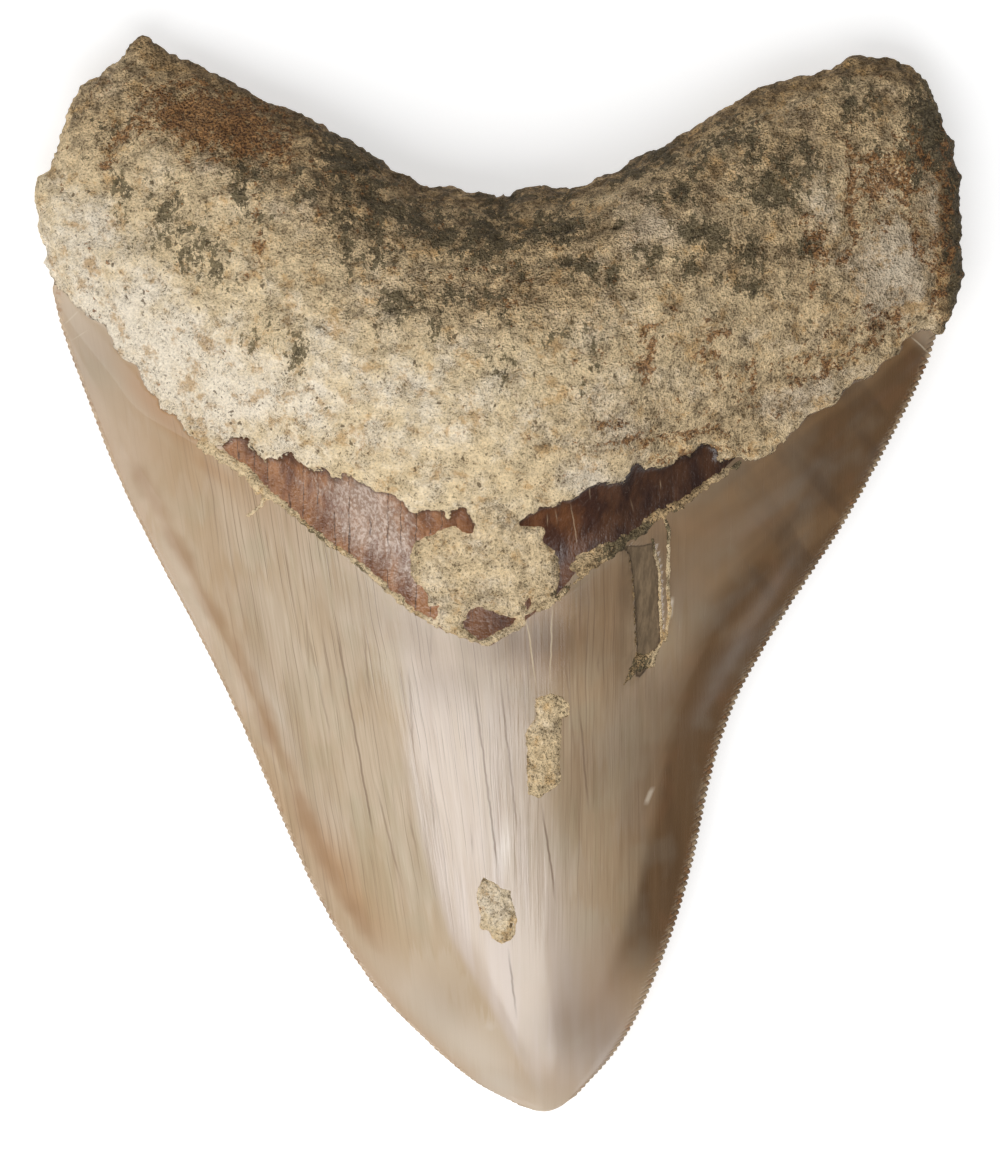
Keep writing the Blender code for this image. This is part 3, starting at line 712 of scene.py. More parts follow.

# %% Broad shades of the crown
# The left shore of the pale strip with its painted highlight, from the neck down to the tip.
PALE_LEFT = [
    (-14.1, 2), (-13.4, -17.3), (-12.7, -29.9), (-9.6, -41.1), (-7, -49.5), (-1.6, -59.3),
    (5.2, -71.7),
]
STREAK_LEAN = 0.16  # how far a streak left of the crest leans across for each millimetre down
FACE_GAP = 40  # keeps the streaks of the two faces apart
growth = np.stack([x + STREAK_LEAN * y * ease(8, -8, x), y, FACE_GAP * face], axis=1)

left_gap, right_gap = distance_to(seen, left_edge), distance_to(seen, right_edge)
shore = np.interp(y, [p[1] for p in PALE_LEFT[::-1]], [p[0] for p in PALE_LEFT[::-1]])
# A highlight is painted on the pale crest. It is weaker under the neck and gone at the tip.
crest_pale_and_highlight = ease(-0.8, 0.8, x - shore) * (1 - ease(10, 24, x - shore)) * lingual
downwards = 0.35 + 0.55 * ease(-2.0, -11.0, neck) + 0.25 * ease(-28, -40, y)
crest_pale_and_highlight = crest_pale_and_highlight * downwards * ease(-76, -66, y)

right_side = 0.56 * ease(0.52, 0.68, across) + 0.12 * ease(0.74, 0.95, across)
upper_right = 0.17 * ease(0.70, 1.0, station) * ease(0.6, 0.9, across)
inset = ease(7.4, 5.0, right_gap) * ease(0.14, 0.34, station) * ease(0.98, 0.85, station)
brown = (right_side + upper_right) * ease(0.06, 0.30, station) + spot_strength(seen, DARK_SPOTS)
brown = brown + 0.36 * inset - spot_strength(seen, LIGHT_SPOTS)

margin = np.exp(-(((left_gap - 3.2) / 1.4) ** 2))
margin = margin * ease(0.2, 0.4, station) * ease(0.98, 0.8, station)
pale = spot_strength(seen, PALE_SPOTS)
dusk = spot_strength(seen, DUSK_SPOTS) * (1 - 0.6 * ease(0.8, 1.6, pale))
# Darker near the arch, where the root turns down: partly dusky sand, partly painted shade.
dusk = dusk + 0.8 * ease(3.0, 0.0, distance_to(seen, ROOT_ARCH))
on_enamel = lingual & (neck < 0)
print(f"brown enamel: {(on_enamel & (brown > 0.5)).sum() / on_enamel.sum():.0%}")

# %% [markdown]
# ## Marks on the points
# Each list of numbers becomes an attribute of the mesh, one value for each point. In the editor
# they could be painted as vertex weights, but worked out they stay sharp and can be changed.

# %% Marks on the points
marks = {
    "crust": crust,
    "neck": neck,
    "furrow": np.where(lingual, furrow, -5.0),
    # The notches get painted shade, and the tops of the beads a painted highlight.
    "notch": ease(0.15, 0.7, 1 - bead) * np.minimum(strength, 1) * ease(1.1, 0.45, edge_distance),
    "bead": ease(0.4, 0.9, bead) * np.clip(0.7 + wear, 0, 1) * ease(0.9, 0.3, edge_distance),
    "strip": ease(1.6, 0.6, edge_distance) * lingual,
    "margin": margin * lingual,
    "crest_pale_and_highlight": crest_pale_and_highlight,
    "brown": np.clip(brown, 0, 1.1),
    "amber": 0.30 * ease(1.8, 0.5, left_gap) + spot_strength(seen, AMBER_SPOTS),
    "ash": spot_strength(seen, ASH_SPOTS),
    "painted_sheen": spot_strength(seen, PAINTED_SHEEN_SPOTS),
    "pale": pale,
    "dusk": dusk,
    "stain": spot_strength(seen, STAIN_SPOTS),
    "rust": np.maximum(spot_strength(seen, RUST_SPOTS), 0.85 * in_fissure * lingual),
}


def remember(mesh, name, values, kind="FLOAT", key="value"):
    """Stores one value for each point of a mesh."""
    layer = mesh.attributes.new(name, kind, "POINT")
    layer.data.foreach_set(key, np.asarray(values, np.float32).ravel())


for name, values in marks.items():
    remember(tooth_mesh, name, values)
remember(tooth_mesh, "growth", growth, "FLOAT_VECTOR", "vector")
print("marks on the points:", ", ".join(marks))

# %% [markdown]
# ## Nodes in a few words
# A material is a graph. This small helper adds a node, sets it up and joins it in one call, so that
# each line below reads like a sentence. Its scales are counts for each millimetre, and its colours
# are linear red, green and blue.

# %% Node helper
class Graph:
    """Adds nodes to one tree and joins them by their sockets."""

    def __init__(self, tree):
        self.tree = tree

    def add(self, kind, inputs=(), output=0, **settings):
        made = self.tree.nodes.new(kind)
        for name, value in settings.items():
            setattr(made, name, value)
        for name, value in dict(inputs).items():
            self.feed(made.inputs[name], value)
        return made.outputs[output]

    def feed(self, socket, value):
        if isinstance(value, bpy.types.NodeSocket):
            self.tree.links.new(value, socket)
        else:
            socket.default_value = value

    def calc(self, operation, a, b=0.0, clamp=False):
        return self.add("ShaderNodeMath", {0: a, 1: b}, operation=operation, use_clamp=clamp)

    def plus(self, first, *others):
        for other in others:
            first = self.calc("ADD", first, other)
        return first

    def times(self, first, *others):
        for other in others:
            first = self.calc("MULTIPLY", first, other)
        return first

    def swing(self, value, reach):
        """A value that swings about one half, turned into one that swings about zero."""
        return self.times(self.calc("SUBTRACT", value, 0.5), reach)

    def ramp(self, low, high, value, top=1.0, kind="LINEAR"):
        inputs = {"Value": value, "From Min": low, "From Max": high, "To Max": top}
        return self.add("ShaderNodeMapRange", inputs, interpolation_type=kind)

    def ease(self, low, high, value):
        return self.ramp(low, high, value, kind="SMOOTHSTEP")

    def blend(self, share, a, b):
        return self.add("ShaderNodeMix", {0: share, 2: a, 3: b}, output=0, data_type="FLOAT")

    def mix(self, share, a, b, blend="MIX"):
        a, b = (colour(*c) if isinstance(c, tuple) else c for c in (a, b))
        return self.add(
            "ShaderNodeMix", {0: share, 6: a, 7: b}, output=2, data_type="RGBA", blend_type=blend
        )

    def paint(self, ground, mask, amount, paint):
        """Covers the ground with paint where the mask says so, by the amount at most."""
        return self.mix(self.times(mask, amount), ground, paint)

    def darken(self, ground, red, green=None, blue=None):
        """Multiplies a colour by one value or by three."""
        factors = {0: red, 1: red if green is None else green, 2: red if blue is None else blue}
        return self.mix(1.0, ground, self.add("ShaderNodeCombineColor", factors), "MULTIPLY")


def colour(red, green, blue):
    return (red, green, blue, 1.0)


# %% [markdown]
# ## Patterns in a few words
# The same helper also reads the marks of the mesh and makes the patterns: cloudy noise, cells of
# random size, and thin lines that stand at uneven distances, like splits in wood.

# %% Pattern helper
class Patterns(Graph):
    """Adds nodes that read the surface or make a pattern."""

    def mark(self, name, output="Fac"):
        return self.add("ShaderNodeAttribute", output=output, attribute_name=name)

    def axes(self, vector):
        return self.add("ShaderNodeSeparateXYZ", {0: vector}).node.outputs[:]

    def stretch(self, vector, factors, shift=(0, 0, 0)):
        inputs = {"Vector": vector, "Scale": factors, "Location": shift}
        return self.add("ShaderNodeMapping", inputs)

    def moved(self, vector, shift):
        return self.stretch(vector, (1, 1, 1), shift)

    def noise(self, vector, scale, detail=2.0, roughness=0.5, distortion=0.0):
        inputs = {
            "Vector": vector, "Scale": scale, "Detail": detail, "Roughness": roughness,
            "Distortion": distortion,
        }
        return self.add("ShaderNodeTexNoise", inputs)

    def cells(self, vector, scale):
        """How far a place is from the middle of its cell, and a random number for the cell."""
        found = self.add("ShaderNodeTexVoronoi", {"Vector": vector, "Scale": scale}).node.outputs
        return found["Distance"], self.add("ShaderNodeSeparateColor", {0: found["Color"]})

    def uneven_lines(self, along, scale=1.0):
        """How far a place is from the nearest of many lines that cross the way along."""
        return self.add(
            "ShaderNodeTexVoronoi", {"W": along, "Scale": scale}, voronoi_dimensions="1D",
            feature="DISTANCE_TO_EDGE",
        )

    def sand(self, where, marks):
        """The sand group, with the marks that it reads: its colour and its height."""
        made = self.tree.nodes.new("ShaderNodeGroup")
        made.node_tree = hardened_sand
        self.feed(made.inputs["Place"], where)
        for name in marks:
            self.feed(made.inputs[name], self.mark(name.lower()))
        return made.outputs["Colour"], made.outputs["Height"]


# %% [markdown]
# ## Sand
# The same hardened sand makes the skin of the root and the crusts on the crown, so it is one node
# group. It has pale grains, dark mineral specks and pits, and four inputs say how bleached, dusky,
# stained or rusty it is at a place. First comes its body colour, from dusky to bleached.

# %% Body of the sand
SAND, BLEACHED_SAND = (0.81, 0.64, 0.395), (0.93, 0.82, 0.65)
DUSKY_SAND, DUSKIEST_SAND, OCHRE = (0.47, 0.315, 0.155), (0.21, 0.135, 0.062), (0.52, 0.31, 0.12)


def sand_body(g, s):
    clouds = g.noise(s.where, 0.17, 3.0, 0.6)
    bleach = g.plus(s.pale, g.swing(clouds, 2.0), g.swing(s.crumbs, 1.0))
    tone = g.mix(g.ease(0.0, 1.0, bleach), SAND, BLEACHED_SAND)
    tone = g.paint(tone, g.ease(0.0, 1.1, s.dusk), 0.95, DUSKY_SAND)
    ochre = g.noise(g.moved(s.where, (31, 7, 2)), 0.30, 4.0, 0.72)
    tone = g.paint(tone, g.ease(0.52, 0.66, ochre), 0.68, OCHRE)
    dusk = g.plus(s.dusk, g.swing(s.mottle, 4.0))
    return g.paint(tone, g.ease(0.5, 1.6, dusk), 0.75, DUSKIEST_SAND)


# %% [markdown]
# ## Painted light on the grains, dirt and painted shade in the hollows
# The raised grains are painted lighter and the hollows between them darker, with dirt and painted
# shade that gather most where the sand is dusky. Both come from crumbs and grit, the two noises
# that also raise the sand's bumps, so painted light and shade keep to their places.

# %% Grains of the sand
DIRT_AND_SHADE, STROKE = (0.115, 0.070, 0.024), (0.12, 0.07, 0.028)


def sand_grains(g, s, tone):
    bleached = g.ease(0.1, 0.9, s.pale)
    lumps = g.swing(s.mottle, g.blend(bleached, -1.55, -0.2))
    # Raised grains are painted lighter and low ones darker, as painted light and shade on the bumps.
    bright = g.plus(g.swing(s.grit, 1.0), g.swing(s.crumbs, 0.5), lumps)
    tone = g.darken(tone, g.calc("MAXIMUM", g.plus(g.times(bright, s.rough), 0.92), 0.1))
    dirt_and_shade_amount = g.plus(g.times(s.dusk, 0.5), g.blend(g.ease(0.42, 0.6, s.mottle), 0.12, 0.72))
    dirt_and_shade_amount = g.times(dirt_and_shade_amount, g.blend(bleached, 1.0, 0.5))
    # Dirt and painted shade gather in the hollows.
    hollow = g.times(g.ease(0.40, 0.33, s.crumbs), g.ease(0.1, 0.7, s.dusk))
    dirt_and_shade = g.calc("MAXIMUM", hollow, g.ease(0.38, 0.31, s.grit))
    tone = g.mix(g.calc("MULTIPLY", dirt_and_shade, dirt_and_shade_amount, clamp=True), tone, DIRT_AND_SHADE)
    wander = g.noise(g.moved(s.where, (5, 9, 1)), 1.0, 3.0, 0.7, 1.2)
    stroke = g.ease(0.022, 0.006, g.calc("ABSOLUTE", g.calc("SUBTRACT", wander, 0.5)))
    return g.paint(tone, g.times(stroke, g.ease(0.49, 0.58, s.mottle)), 0.75, STROKE)


# %% [markdown]
# ## Moss and rust
# Both are stains with torn outlines. A cloudy noise is compared with a limit, and where the stain
# is stronger the limit is lower, so more of the surface is covered. A blurred mask would look like
# paint, while this keeps every border sharp.

# %% Stains in the sand
STAIN_LIMIT = 0.70
MOSS, MOSS_CRUMBS, MOSS_GRIT = (0.034, 0.026, 0.010), (0.20, 0.155, 0.078), (0.30, 0.235, 0.135)
MOSS_IN_DUSK = (0.032, 0.021, 0.008)
RUST, RUST_GRIT = (0.085, 0.032, 0.010), (0.38, 0.18, 0.058)


def sand_stains(g, s, tone):
    broken = g.swing(s.crumbs, 0.6)
    blot = g.noise(g.stretch(s.where, (1.0, 0.58, 1.0)), 0.45, 5.0, 0.8)
    over = g.calc("SUBTRACT", g.plus(blot, broken), STAIN_LIMIT)
    over = g.plus(over, g.plus(g.times(s.stain, 0.25), g.times(s.dusk, 0.075)))
    moss = g.mix(g.ease(0.36, 0.66, s.crumbs), MOSS, MOSS_CRUMBS)
    moss = g.mix(g.ease(0.56, 0.68, s.grit), moss, MOSS_GRIT)
    moss = g.paint(moss, g.ease(0.2, 1.0, s.dusk), 0.42, MOSS_IN_DUSK)
    tone = g.paint(tone, g.ease(-0.015, 0.02, over), 0.9, moss)
    worm = g.noise(g.moved(s.where, (17, 5, 3)), 0.6, 4.0, 0.78)
    over = g.plus(g.calc("SUBTRACT", worm, STAIN_LIMIT), g.times(s.rust, 0.25), broken)
    rust = g.mix(g.ease(0.35, 0.65, s.grit), RUST, RUST_GRIT)
    return g.paint(tone, g.ease(-0.025, 0.035, over), 0.85, rust)


# %% [markdown]
# ## Specks
# A few dark mineral grains of uneven sizes and shapes lie in the sand, and small pits between
# them are painted as dark shade. Cells give each of them its own random number, which picks out
# the few that show.

# %% Specks in the sand
SPECK = (0.085, 0.052, 0.020)


def sand_specks(g, s, tone):
    jolt = g.add("ShaderNodeTexNoise", {"Vector": s.where, "Scale": 1.6, "Detail": 1.0}, output=1)
    jolted = g.add(
        "ShaderNodeVectorMath", {0: jolt, 1: (1.1, 1.1, 1.1), 2: s.where}, operation="MULTIPLY_ADD"
    )
    speck, chosen = g.cells(jolted, 0.9)
    size = g.blend(g.ease(0.86, 1.0, chosen), 0.05, 0.30)
    dark = g.ease(0.04, -0.05, g.calc("SUBTRACT", speck, size))
    dark = g.times(dark, g.ease(0.79, 0.81, chosen))
    painted_pit_shade, chosen = g.cells(jolted, 1.9)
    painted_pit_shade = g.times(g.ease(0.36, 0.24, painted_pit_shade), g.ease(0.85, 0.87, chosen))
    return g.paint(tone, g.calc("MAXIMUM", dark, g.times(painted_pit_shade, 0.8)), 0.78, SPECK)


# %% The sand group
def sand_group():
    tree = bpy.data.node_groups.new("hardened sand", "ShaderNodeTree")
    sockets = [("Place", "INPUT", "Vector")]
    sockets += [(name, "INPUT", "Float") for name in ("Pale", "Dusk", "Stain", "Rust")]
    sockets += [("Colour", "OUTPUT", "Color"), ("Height", "OUTPUT", "Float")]
    for name, way, kind in sockets:
        tree.interface.new_socket(name, in_out=way, socket_type="NodeSocket" + kind)
    g = Patterns(tree)
    given = tree.nodes.new("NodeGroupInput").outputs
    s = SimpleNamespace(**{socket.name.lower(): socket for socket in given[:5]})
    s.where = s.place
    s.mottle = g.noise(g.moved(s.where, (9, 4, 0)), 0.38, 5.0, 0.75)
    s.crumbs = g.noise(s.where, 1.05, 3.0, 0.7, 0.6)
    s.grit = g.noise(s.where, 2.9, 1.0, 0.7)
    s.rough = g.blend(g.ease(0.15, 0.9, s.dusk), 0.78, 1.65)
    tone = sand_body(g, s)
    for layer in (sand_grains, sand_stains, sand_specks):
        tone = layer(g, s, tone)
    made = tree.nodes.new("NodeGroupOutput")
    g.feed(made.inputs["Colour"], tone)
    g.feed(made.inputs["Height"], g.times(g.plus(s.crumbs, g.times(s.grit, 0.75)), s.rough))
    return tree


hardened_sand = sand_group()
print("nodes in the sand:", len(hardened_sand.nodes))

# %% [markdown]
# ## The tooth's material
# Enamel is glossy and full of fine streaks that follow its growth from the neck to the tip. The
# neck band is a thinner, darker enamel with fine cracks. The root has the sand. The distances decide
# which of them shows, and a little noise on each distance makes its border ragged. Several skins
# read the same places and patterns, so these are gathered first.

# %% Patterns of the tooth
SAND_BUMP = 0.45 * MM


def new_material(name):
    material = bpy.data.materials.new(name)
    material.use_nodes = True
    return material, Patterns(material.node_tree), material.node_tree.nodes["Principled BSDF"]


def place_in_mm(g):
    at = g.add("ShaderNodeTexCoord", output="Object")
    return g.stretch(at, (1 / MM, 1 / MM, 1 / MM))


def tooth_patterns(g):
    where, grown = place_in_mm(g), g.mark("growth", "Vector")
    x, y, _ = g.axes(where)
    across, down, face = g.axes(grown)
    wobble = g.noise(g.stretch(where, (0.05, 0.3, 0.0)), 1.0, 2.0, 0.6)
    crest = g.times(g.ease(-46, -33, across), g.ease(30, 17, across), g.ease(-56, -40, down))
    return SimpleNamespace(
        where=where, grown=grown, x=x, up=y, across=across,
        neck=g.mark("neck"), brown=g.mark("brown"), crest_pale_and_highlight=g.mark("crest_pale_and_highlight"),
        aside=g.plus(x, g.swing(wobble, 0.5)),  # a wavering x, which makes lines waver
        on_front=g.ease(15.0, 30.0, face),
        to_right=g.ease(-10.0, 0.0, x),
        near_crest=g.blend(crest, 0.1, 1.0),  # fine streaks fade out towards the flanks
        streaks=g.noise(g.stretch(grown, (0.85, 0.045, 1.0)), 1.0, 3.0, 0.6),
        fine=g.noise(g.stretch(grown, (3.2, 0.11, 1.0)), 1.0, 2.0, 0.6),
        haze=g.noise(g.moved(where, (40, 3, 9)), 0.13, 2.0, 0.5),
        flecks=g.noise(where, 0.9, 3.0, 0.7),
        fibre=g.noise(g.stretch(where, (1.0, 0.14, 1.0)), 1.5, 3.0, 0.7),
    )


# %% [markdown]
# ## Enamel
# Its streaks are noise that is stretched along the growth. Clouds of another tan and of olive lie
# under them, the marks add amber, ash and the pale crest with its painted highlight, and brown
# covers the right flank.
# There the streaks turn and run along the edge of the root, and the light ones are a painted sheen.

# %% Enamel
FLANK_TURN = 40  # degrees from the X axis to the streaks of the right flank
TAN, LIGHT_TAN = (0.51, 0.378, 0.243), (0.57, 0.448, 0.318)
HAZY_TAN, OLIVE, AMBER = (0.47, 0.40, 0.27), (0.40, 0.325, 0.195), (0.42, 0.215, 0.085)
CREST_PALE_AND_HIGHLIGHT, ASH = (0.635, 0.528, 0.448), (0.66, 0.57, 0.47)
BARK, LIGHT_BARK = (0.098, 0.051, 0.020), (0.165, 0.093, 0.041)
HAZY_BARK, RED_BARK = (0.20, 0.155, 0.108), (0.17, 0.085, 0.036)
FLANK_SHEEN, FLANK_GREY = (0.25, 0.145, 0.065), (0.175, 0.150, 0.125)
FLANK_DARK = (0.070, 0.040, 0.020)


def turned_flank(g, p, bark):
    """Brown enamel, with streaks that turn on the right flank, where the light ones are a painted
    sheen.
    """
    turned = g.add(
        "ShaderNodeMapping", {"Vector": p.where, "Rotation": (0, 0, math.radians(-FLANK_TURN))}
    )
    along = g.noise(g.stretch(turned, (0.035, 0.22, 0.0)), 1.0, 2.0, 0.45)
    down = g.noise(g.stretch(turned, (0.22, 0.05, 0.0)), 1.0, 2.0, 0.5)
    lit = g.paint(bark, g.ease(0.48, 0.72, along), 0.6, FLANK_SHEEN)
    lit = g.paint(lit, g.ease(0.50, 0.30, along), 0.4, FLANK_GREY)
    lit = g.paint(lit, g.ease(0.52, 0.30, down), 0.4, FLANK_DARK)
    flank = g.times(g.ease(22.0, 38.0, p.across), g.ease(-34.0, -14.0, p.neck))
    return g.mix(flank, bark, lit)


def streaked_enamel(g, p):
    drip = {0: (0.0, 14.0, 0.0), "Scale": p.streaks}
    drip = g.add("ShaderNodeVectorMath", drip, operation="SCALE")
    dripping = g.add("ShaderNodeVectorMath", {0: p.where, 1: drip}, operation="ADD")
    patches = g.noise(dripping, 0.085, 3.0, 0.5)
    broad = g.ease(0.38, 0.62, g.noise(g.stretch(p.grown, (0.24, 0.030, 1.0)), 1.0, 2.0, 0.55))
    tan = g.mix(g.ease(0.40, 0.58, patches), TAN, LIGHT_TAN)
    tan = g.paint(tan, g.ease(0.5, 0.68, p.haze), 0.35, HAZY_TAN)
    olive = g.noise(g.stretch(p.grown, (0.4, 0.035, 1.0), (11, 2, 0)), 1.0, 2.0, 0.6)
    tan = g.paint(tan, g.times(g.ease(0.5, 0.64, olive), p.near_crest), 0.35, OLIVE)
    enamel = g.paint(tan, g.mark("amber"), 0.62, AMBER)
    # Paler enamel along the crest, with a highlight painted on it.
    enamel = g.paint(enamel, p.crest_pale_and_highlight, g.blend(broad, 0.5, 0.88), CREST_PALE_AND_HIGHLIGHT)
    enamel = g.paint(enamel, g.mark("ash"), 0.7, ASH)
    bark = g.mix(g.blend(p.near_crest, 0.55, broad), BARK, LIGHT_BARK)
    bark = g.paint(bark, g.ease(0.5, 0.7, p.haze), 0.35, HAZY_BARK)
    bark = g.paint(bark, g.ease(0.46, 0.34, p.haze), 0.5, RED_BARK)
    brown = g.ease(-0.1, 1.05, g.plus(p.brown, g.swing(patches, 0.2)))
    enamel = g.mix(brown, enamel, turned_flank(g, p, bark))
    shade = g.plus(g.swing(p.streaks, 0.46), 1.0, g.swing(p.fine, 0.42))
    shade = g.blend(p.near_crest, 1.0, shade)
    warm = g.plus(g.times(shade, 0.8), 0.2)
    cool = g.calc("SUBTRACT", g.times(shade, 1.2), 0.2)
    return g.darken(enamel, warm, shade, cool)


# %% [markdown]
# ## Cracks
# Old enamel splits along its growth. The finest splits stand close together under the neck and
# come from a pattern. The longer cracks, the threads of sand, the chips and one glint, a painted
# highlight, are nearly straight, so each is a row in a list: where it starts and ends, and how
# strong it is.

# %% Lines on the enamel
CRACKS = [
    (-3.6, -13.9, 0, -41.9, 1), (1.2, -51.3, 2.5, -62, 1), (0.1, -13.9, 2.7, -36.5, 0.8),
    (5.9, -31.3, 8, -46, 1), (11.1, -17.2, 12.5, -33.2, 0.8), (-12.6, -11.7, -11.8, -25.6, 0.6),
    (-10.1, -24.9, -8.6, -38, 0.6), (-3.9, -34.2, -3.6, -39.7, 0.6), (13.7, -10, 13.9, -13.9, 0.6),
    (-1.3, -10.7, -0.8, -17.2, 0.5), (-22.8, -6.1, -17.4, -36.7, 0.9),
    (-26.9, -6.1, -23.2, -23.7, 0.5), (-24.9, -6.1, -22.8, -19, 0.5),
    (-18.9, -6.1, -17.9, -17.9, 0.6), (-17.4, -28.1, -13.4, -43.8, 0.6),
    (-13, -31.2, -11.1, -39.4, 0.6), (-9.5, -6.1, -9.5, -13.1, 0.5), (-27, -2.9, -26.3, -14.1, 0.5),
    (9, -8.9, 10.6, -25.7, 0.45),
]
SAND_THREADS = [(6.9, 2, 7, -4.8, 1), (3.6, -4.4, 5.3, -16, 0.8), (7.4, -3, 7.1, -15.5, 0.6)]
# Enamel has lifted at both ends of the neck.
LIGHT_CRACKS = [
    (-58.4, 37.3, -60.8, 35.1, 1), (-57.3, 34.4, -59.9, 32.8, 0.8), (57.5, 33.5, 60.1, 31.1, 1),
]
CHIPS = [(24.1, -2.7, 23.7, -5.9, 1), (21.5, -29.2, 20.4, -32, 0.7)]
# A highlight is painted as a glint streak above the lower crust.
PAINTED_GLINTS = [(1.4, -32.5, 0.2, -43, 1)]
BAND_CRACKS = [
    (9.9, 10.4, 10.9, 4.2, 1), (6.7, 8.9, 6.7, 6.8, 0.8), (7.8, 9.5, 8.1, 7.2, 0.8),
    (12.5, 13.4, 12.6, 10.5, 0.8), (22.4, 13.6, 22.5, 12, 0.8), (18.2, 11, 18.7, 8.8, 0.5),
]
PALE_LINES = (  # lines, half width, fade at the ends, amount and colour
    (SAND_THREADS, 0.09, 4.0, 0.8, (0.66, 0.52, 0.32)),
    (PAINTED_GLINTS, 0.75, 5.0, 0.5, (0.86, 0.78, 0.70)),
    (CHIPS, 0.3, 0.8, 0.85, (0.66, 0.56, 0.44)),
    (LIGHT_CRACKS, 0.14, 0.5, 0.6, (0.62, 0.52, 0.38)),
)
SPLITS = ((0.85, 0.085, 1.0, 7), (1.7, 0.12, 0.55, 19))  # per mm, half width, strength and seed
CRACK = (0.16, 0.098, 0.062)


def line_mask(g, p, lines, half_width, fade=4.0):
    """The strongest of several nearly straight lines."""
    strongest = 0.0
    for start_x, start_y, end_x, end_y, strength in lines:
        slope = (end_x - start_x) / (start_y - end_y)
        line = g.add(
            "ShaderNodeMath", {0: p.up, 1: slope, 2: -slope * start_y - start_x},
            operation="MULTIPLY_ADD",
        )
        off = g.calc("ABSOLUTE", g.plus(p.aside, line))
        middle, half = 0.5 * (start_y + end_y), 0.5 * (start_y - end_y)
        along = g.calc("ABSOLUTE", g.calc("SUBTRACT", p.up, middle))
        width = g.ramp(1.6 * half_width, 0.5 * half_width, off)
        ends = g.ramp(half, half - min(fade, half), along, strength)
        strongest = g.calc("MAXIMUM", strongest, g.times(width, ends))
    return strongest


# %% Cracked enamel
def fine_splits(g, p):
    bent = g.noise(g.stretch(p.grown, (0.12, 0.06, 1.0)), 1.0, 2.0, 0.5)
    faint = 0.0
    for per_mm, half_width, strength, seed in SPLITS:
        spread = g.plus(g.times(p.across, per_mm), g.times(bent, 1.5 * per_mm))
        gaps = g.noise(g.stretch(p.grown, (0.7, 0.07, 1.0), (seed, 3, 1)), 1.0, 1.0, 0.5)
        drawn = g.ease(half_width, 0.2 * half_width, g.uneven_lines(spread))
        drawn = g.times(drawn, g.ease(0.44, 0.56, gaps), strength)
        faint = g.calc("MAXIMUM", faint, drawn)
    under_neck = g.blend(g.ease(-26.0, -4.0, p.neck), 0.6, 1.0)
    return g.times(faint, g.times(under_neck, p.near_crest))


def cracked_enamel(g, p, enamel):
    cracked = g.times(line_mask(g, p, CRACKS, 0.13), p.on_front)
    cracked = g.calc("MAXIMUM", cracked, g.times(fine_splits(g, p), 0.82))
    enamel = g.paint(enamel, cracked, 0.66, CRACK)
    for lines, half_width, fade, amount, paint in PALE_LINES:
        drawn = g.times(line_mask(g, p, lines, half_width, fade), p.on_front)
        enamel = g.paint(enamel, drawn, amount, paint)
    return enamel


# %% [markdown]
# ## Wear, painted shade and highlights along the cutting edges
# The edges are worn and flecked, shade is painted into the notches, and a highlight is painted on
# the tops of the beads. A narrow brown stripe follows the left edge a few millimetres in.

# %% Worn edges
LEFT_FLECKS, RIGHT_FLECKS = (0.66, 0.48, 0.31), (0.36, 0.25, 0.15)
LEFT_NOTCH_SHADE, RIGHT_NOTCH_SHADE = (0.30, 0.18, 0.10), (0.070, 0.040, 0.020)
LEFT_BEAD_HIGHLIGHT, RIGHT_BEAD_HIGHLIGHT = (0.66, 0.50, 0.34), (0.52, 0.39, 0.25)
STRIPE, EDGE_RUST = (0.36, 0.215, 0.115), (0.40, 0.20, 0.09)


def worn_edges(g, p, enamel):
    margin, strip = g.mark("margin"), g.mark("strip")
    worn = g.plus(margin, g.times(g.calc("SUBTRACT", p.haze, 0.55), 2.2))
    worn = g.times(g.ease(0.1, 1.1, worn), g.ease(0.0, 0.3, margin))
    enamel = g.paint(enamel, worn, 0.72, STRIPE)
    pale_flecks = g.times(strip, g.ease(0.46, 0.60, p.flecks))
    enamel = g.paint(enamel, pale_flecks, 0.6, g.mix(p.to_right, LEFT_FLECKS, RIGHT_FLECKS))
    enamel = g.paint(enamel, g.times(strip, g.ease(0.46, 0.36, p.flecks)), 0.5, EDGE_RUST)
    # Painted shade in the notches and a painted highlight on the beads.
    enamel = g.paint(enamel, g.mark("notch"), 0.85, g.mix(p.to_right, LEFT_NOTCH_SHADE, RIGHT_NOTCH_SHADE))
    bead = g.mix(p.to_right, LEFT_BEAD_HIGHLIGHT, RIGHT_BEAD_HIGHLIGHT)
    return g.paint(enamel, g.mark("bead"), g.ease(0.36, 0.6, p.flecks), bead)


# %% [markdown]
# ## The neck band
# The band has fine upright fibres and splits. It is reddish brown on the left, darker in the
# middle and nearly black on the right, and a sheen is painted on its left part.

# %% The neck band
LEFT_BAND = (0.16, 0.060, 0.024), (0.36, 0.165, 0.07)
MIDDLE_BAND = (0.055, 0.016, 0.005), (0.135, 0.048, 0.014)
RIGHT_BAND = (0.028, 0.009, 0.004), (0.070, 0.027, 0.010)
BAND_LINE, SHEEN, BRIGHT_SHEEN = (0.42, 0.30, 0.19), (0.40, 0.285, 0.215), (0.70, 0.57, 0.48)
BAND_SPLIT, BAND_SHADOW = (0.045, 0.022, 0.012), (0.02, 0.01, 0.006)


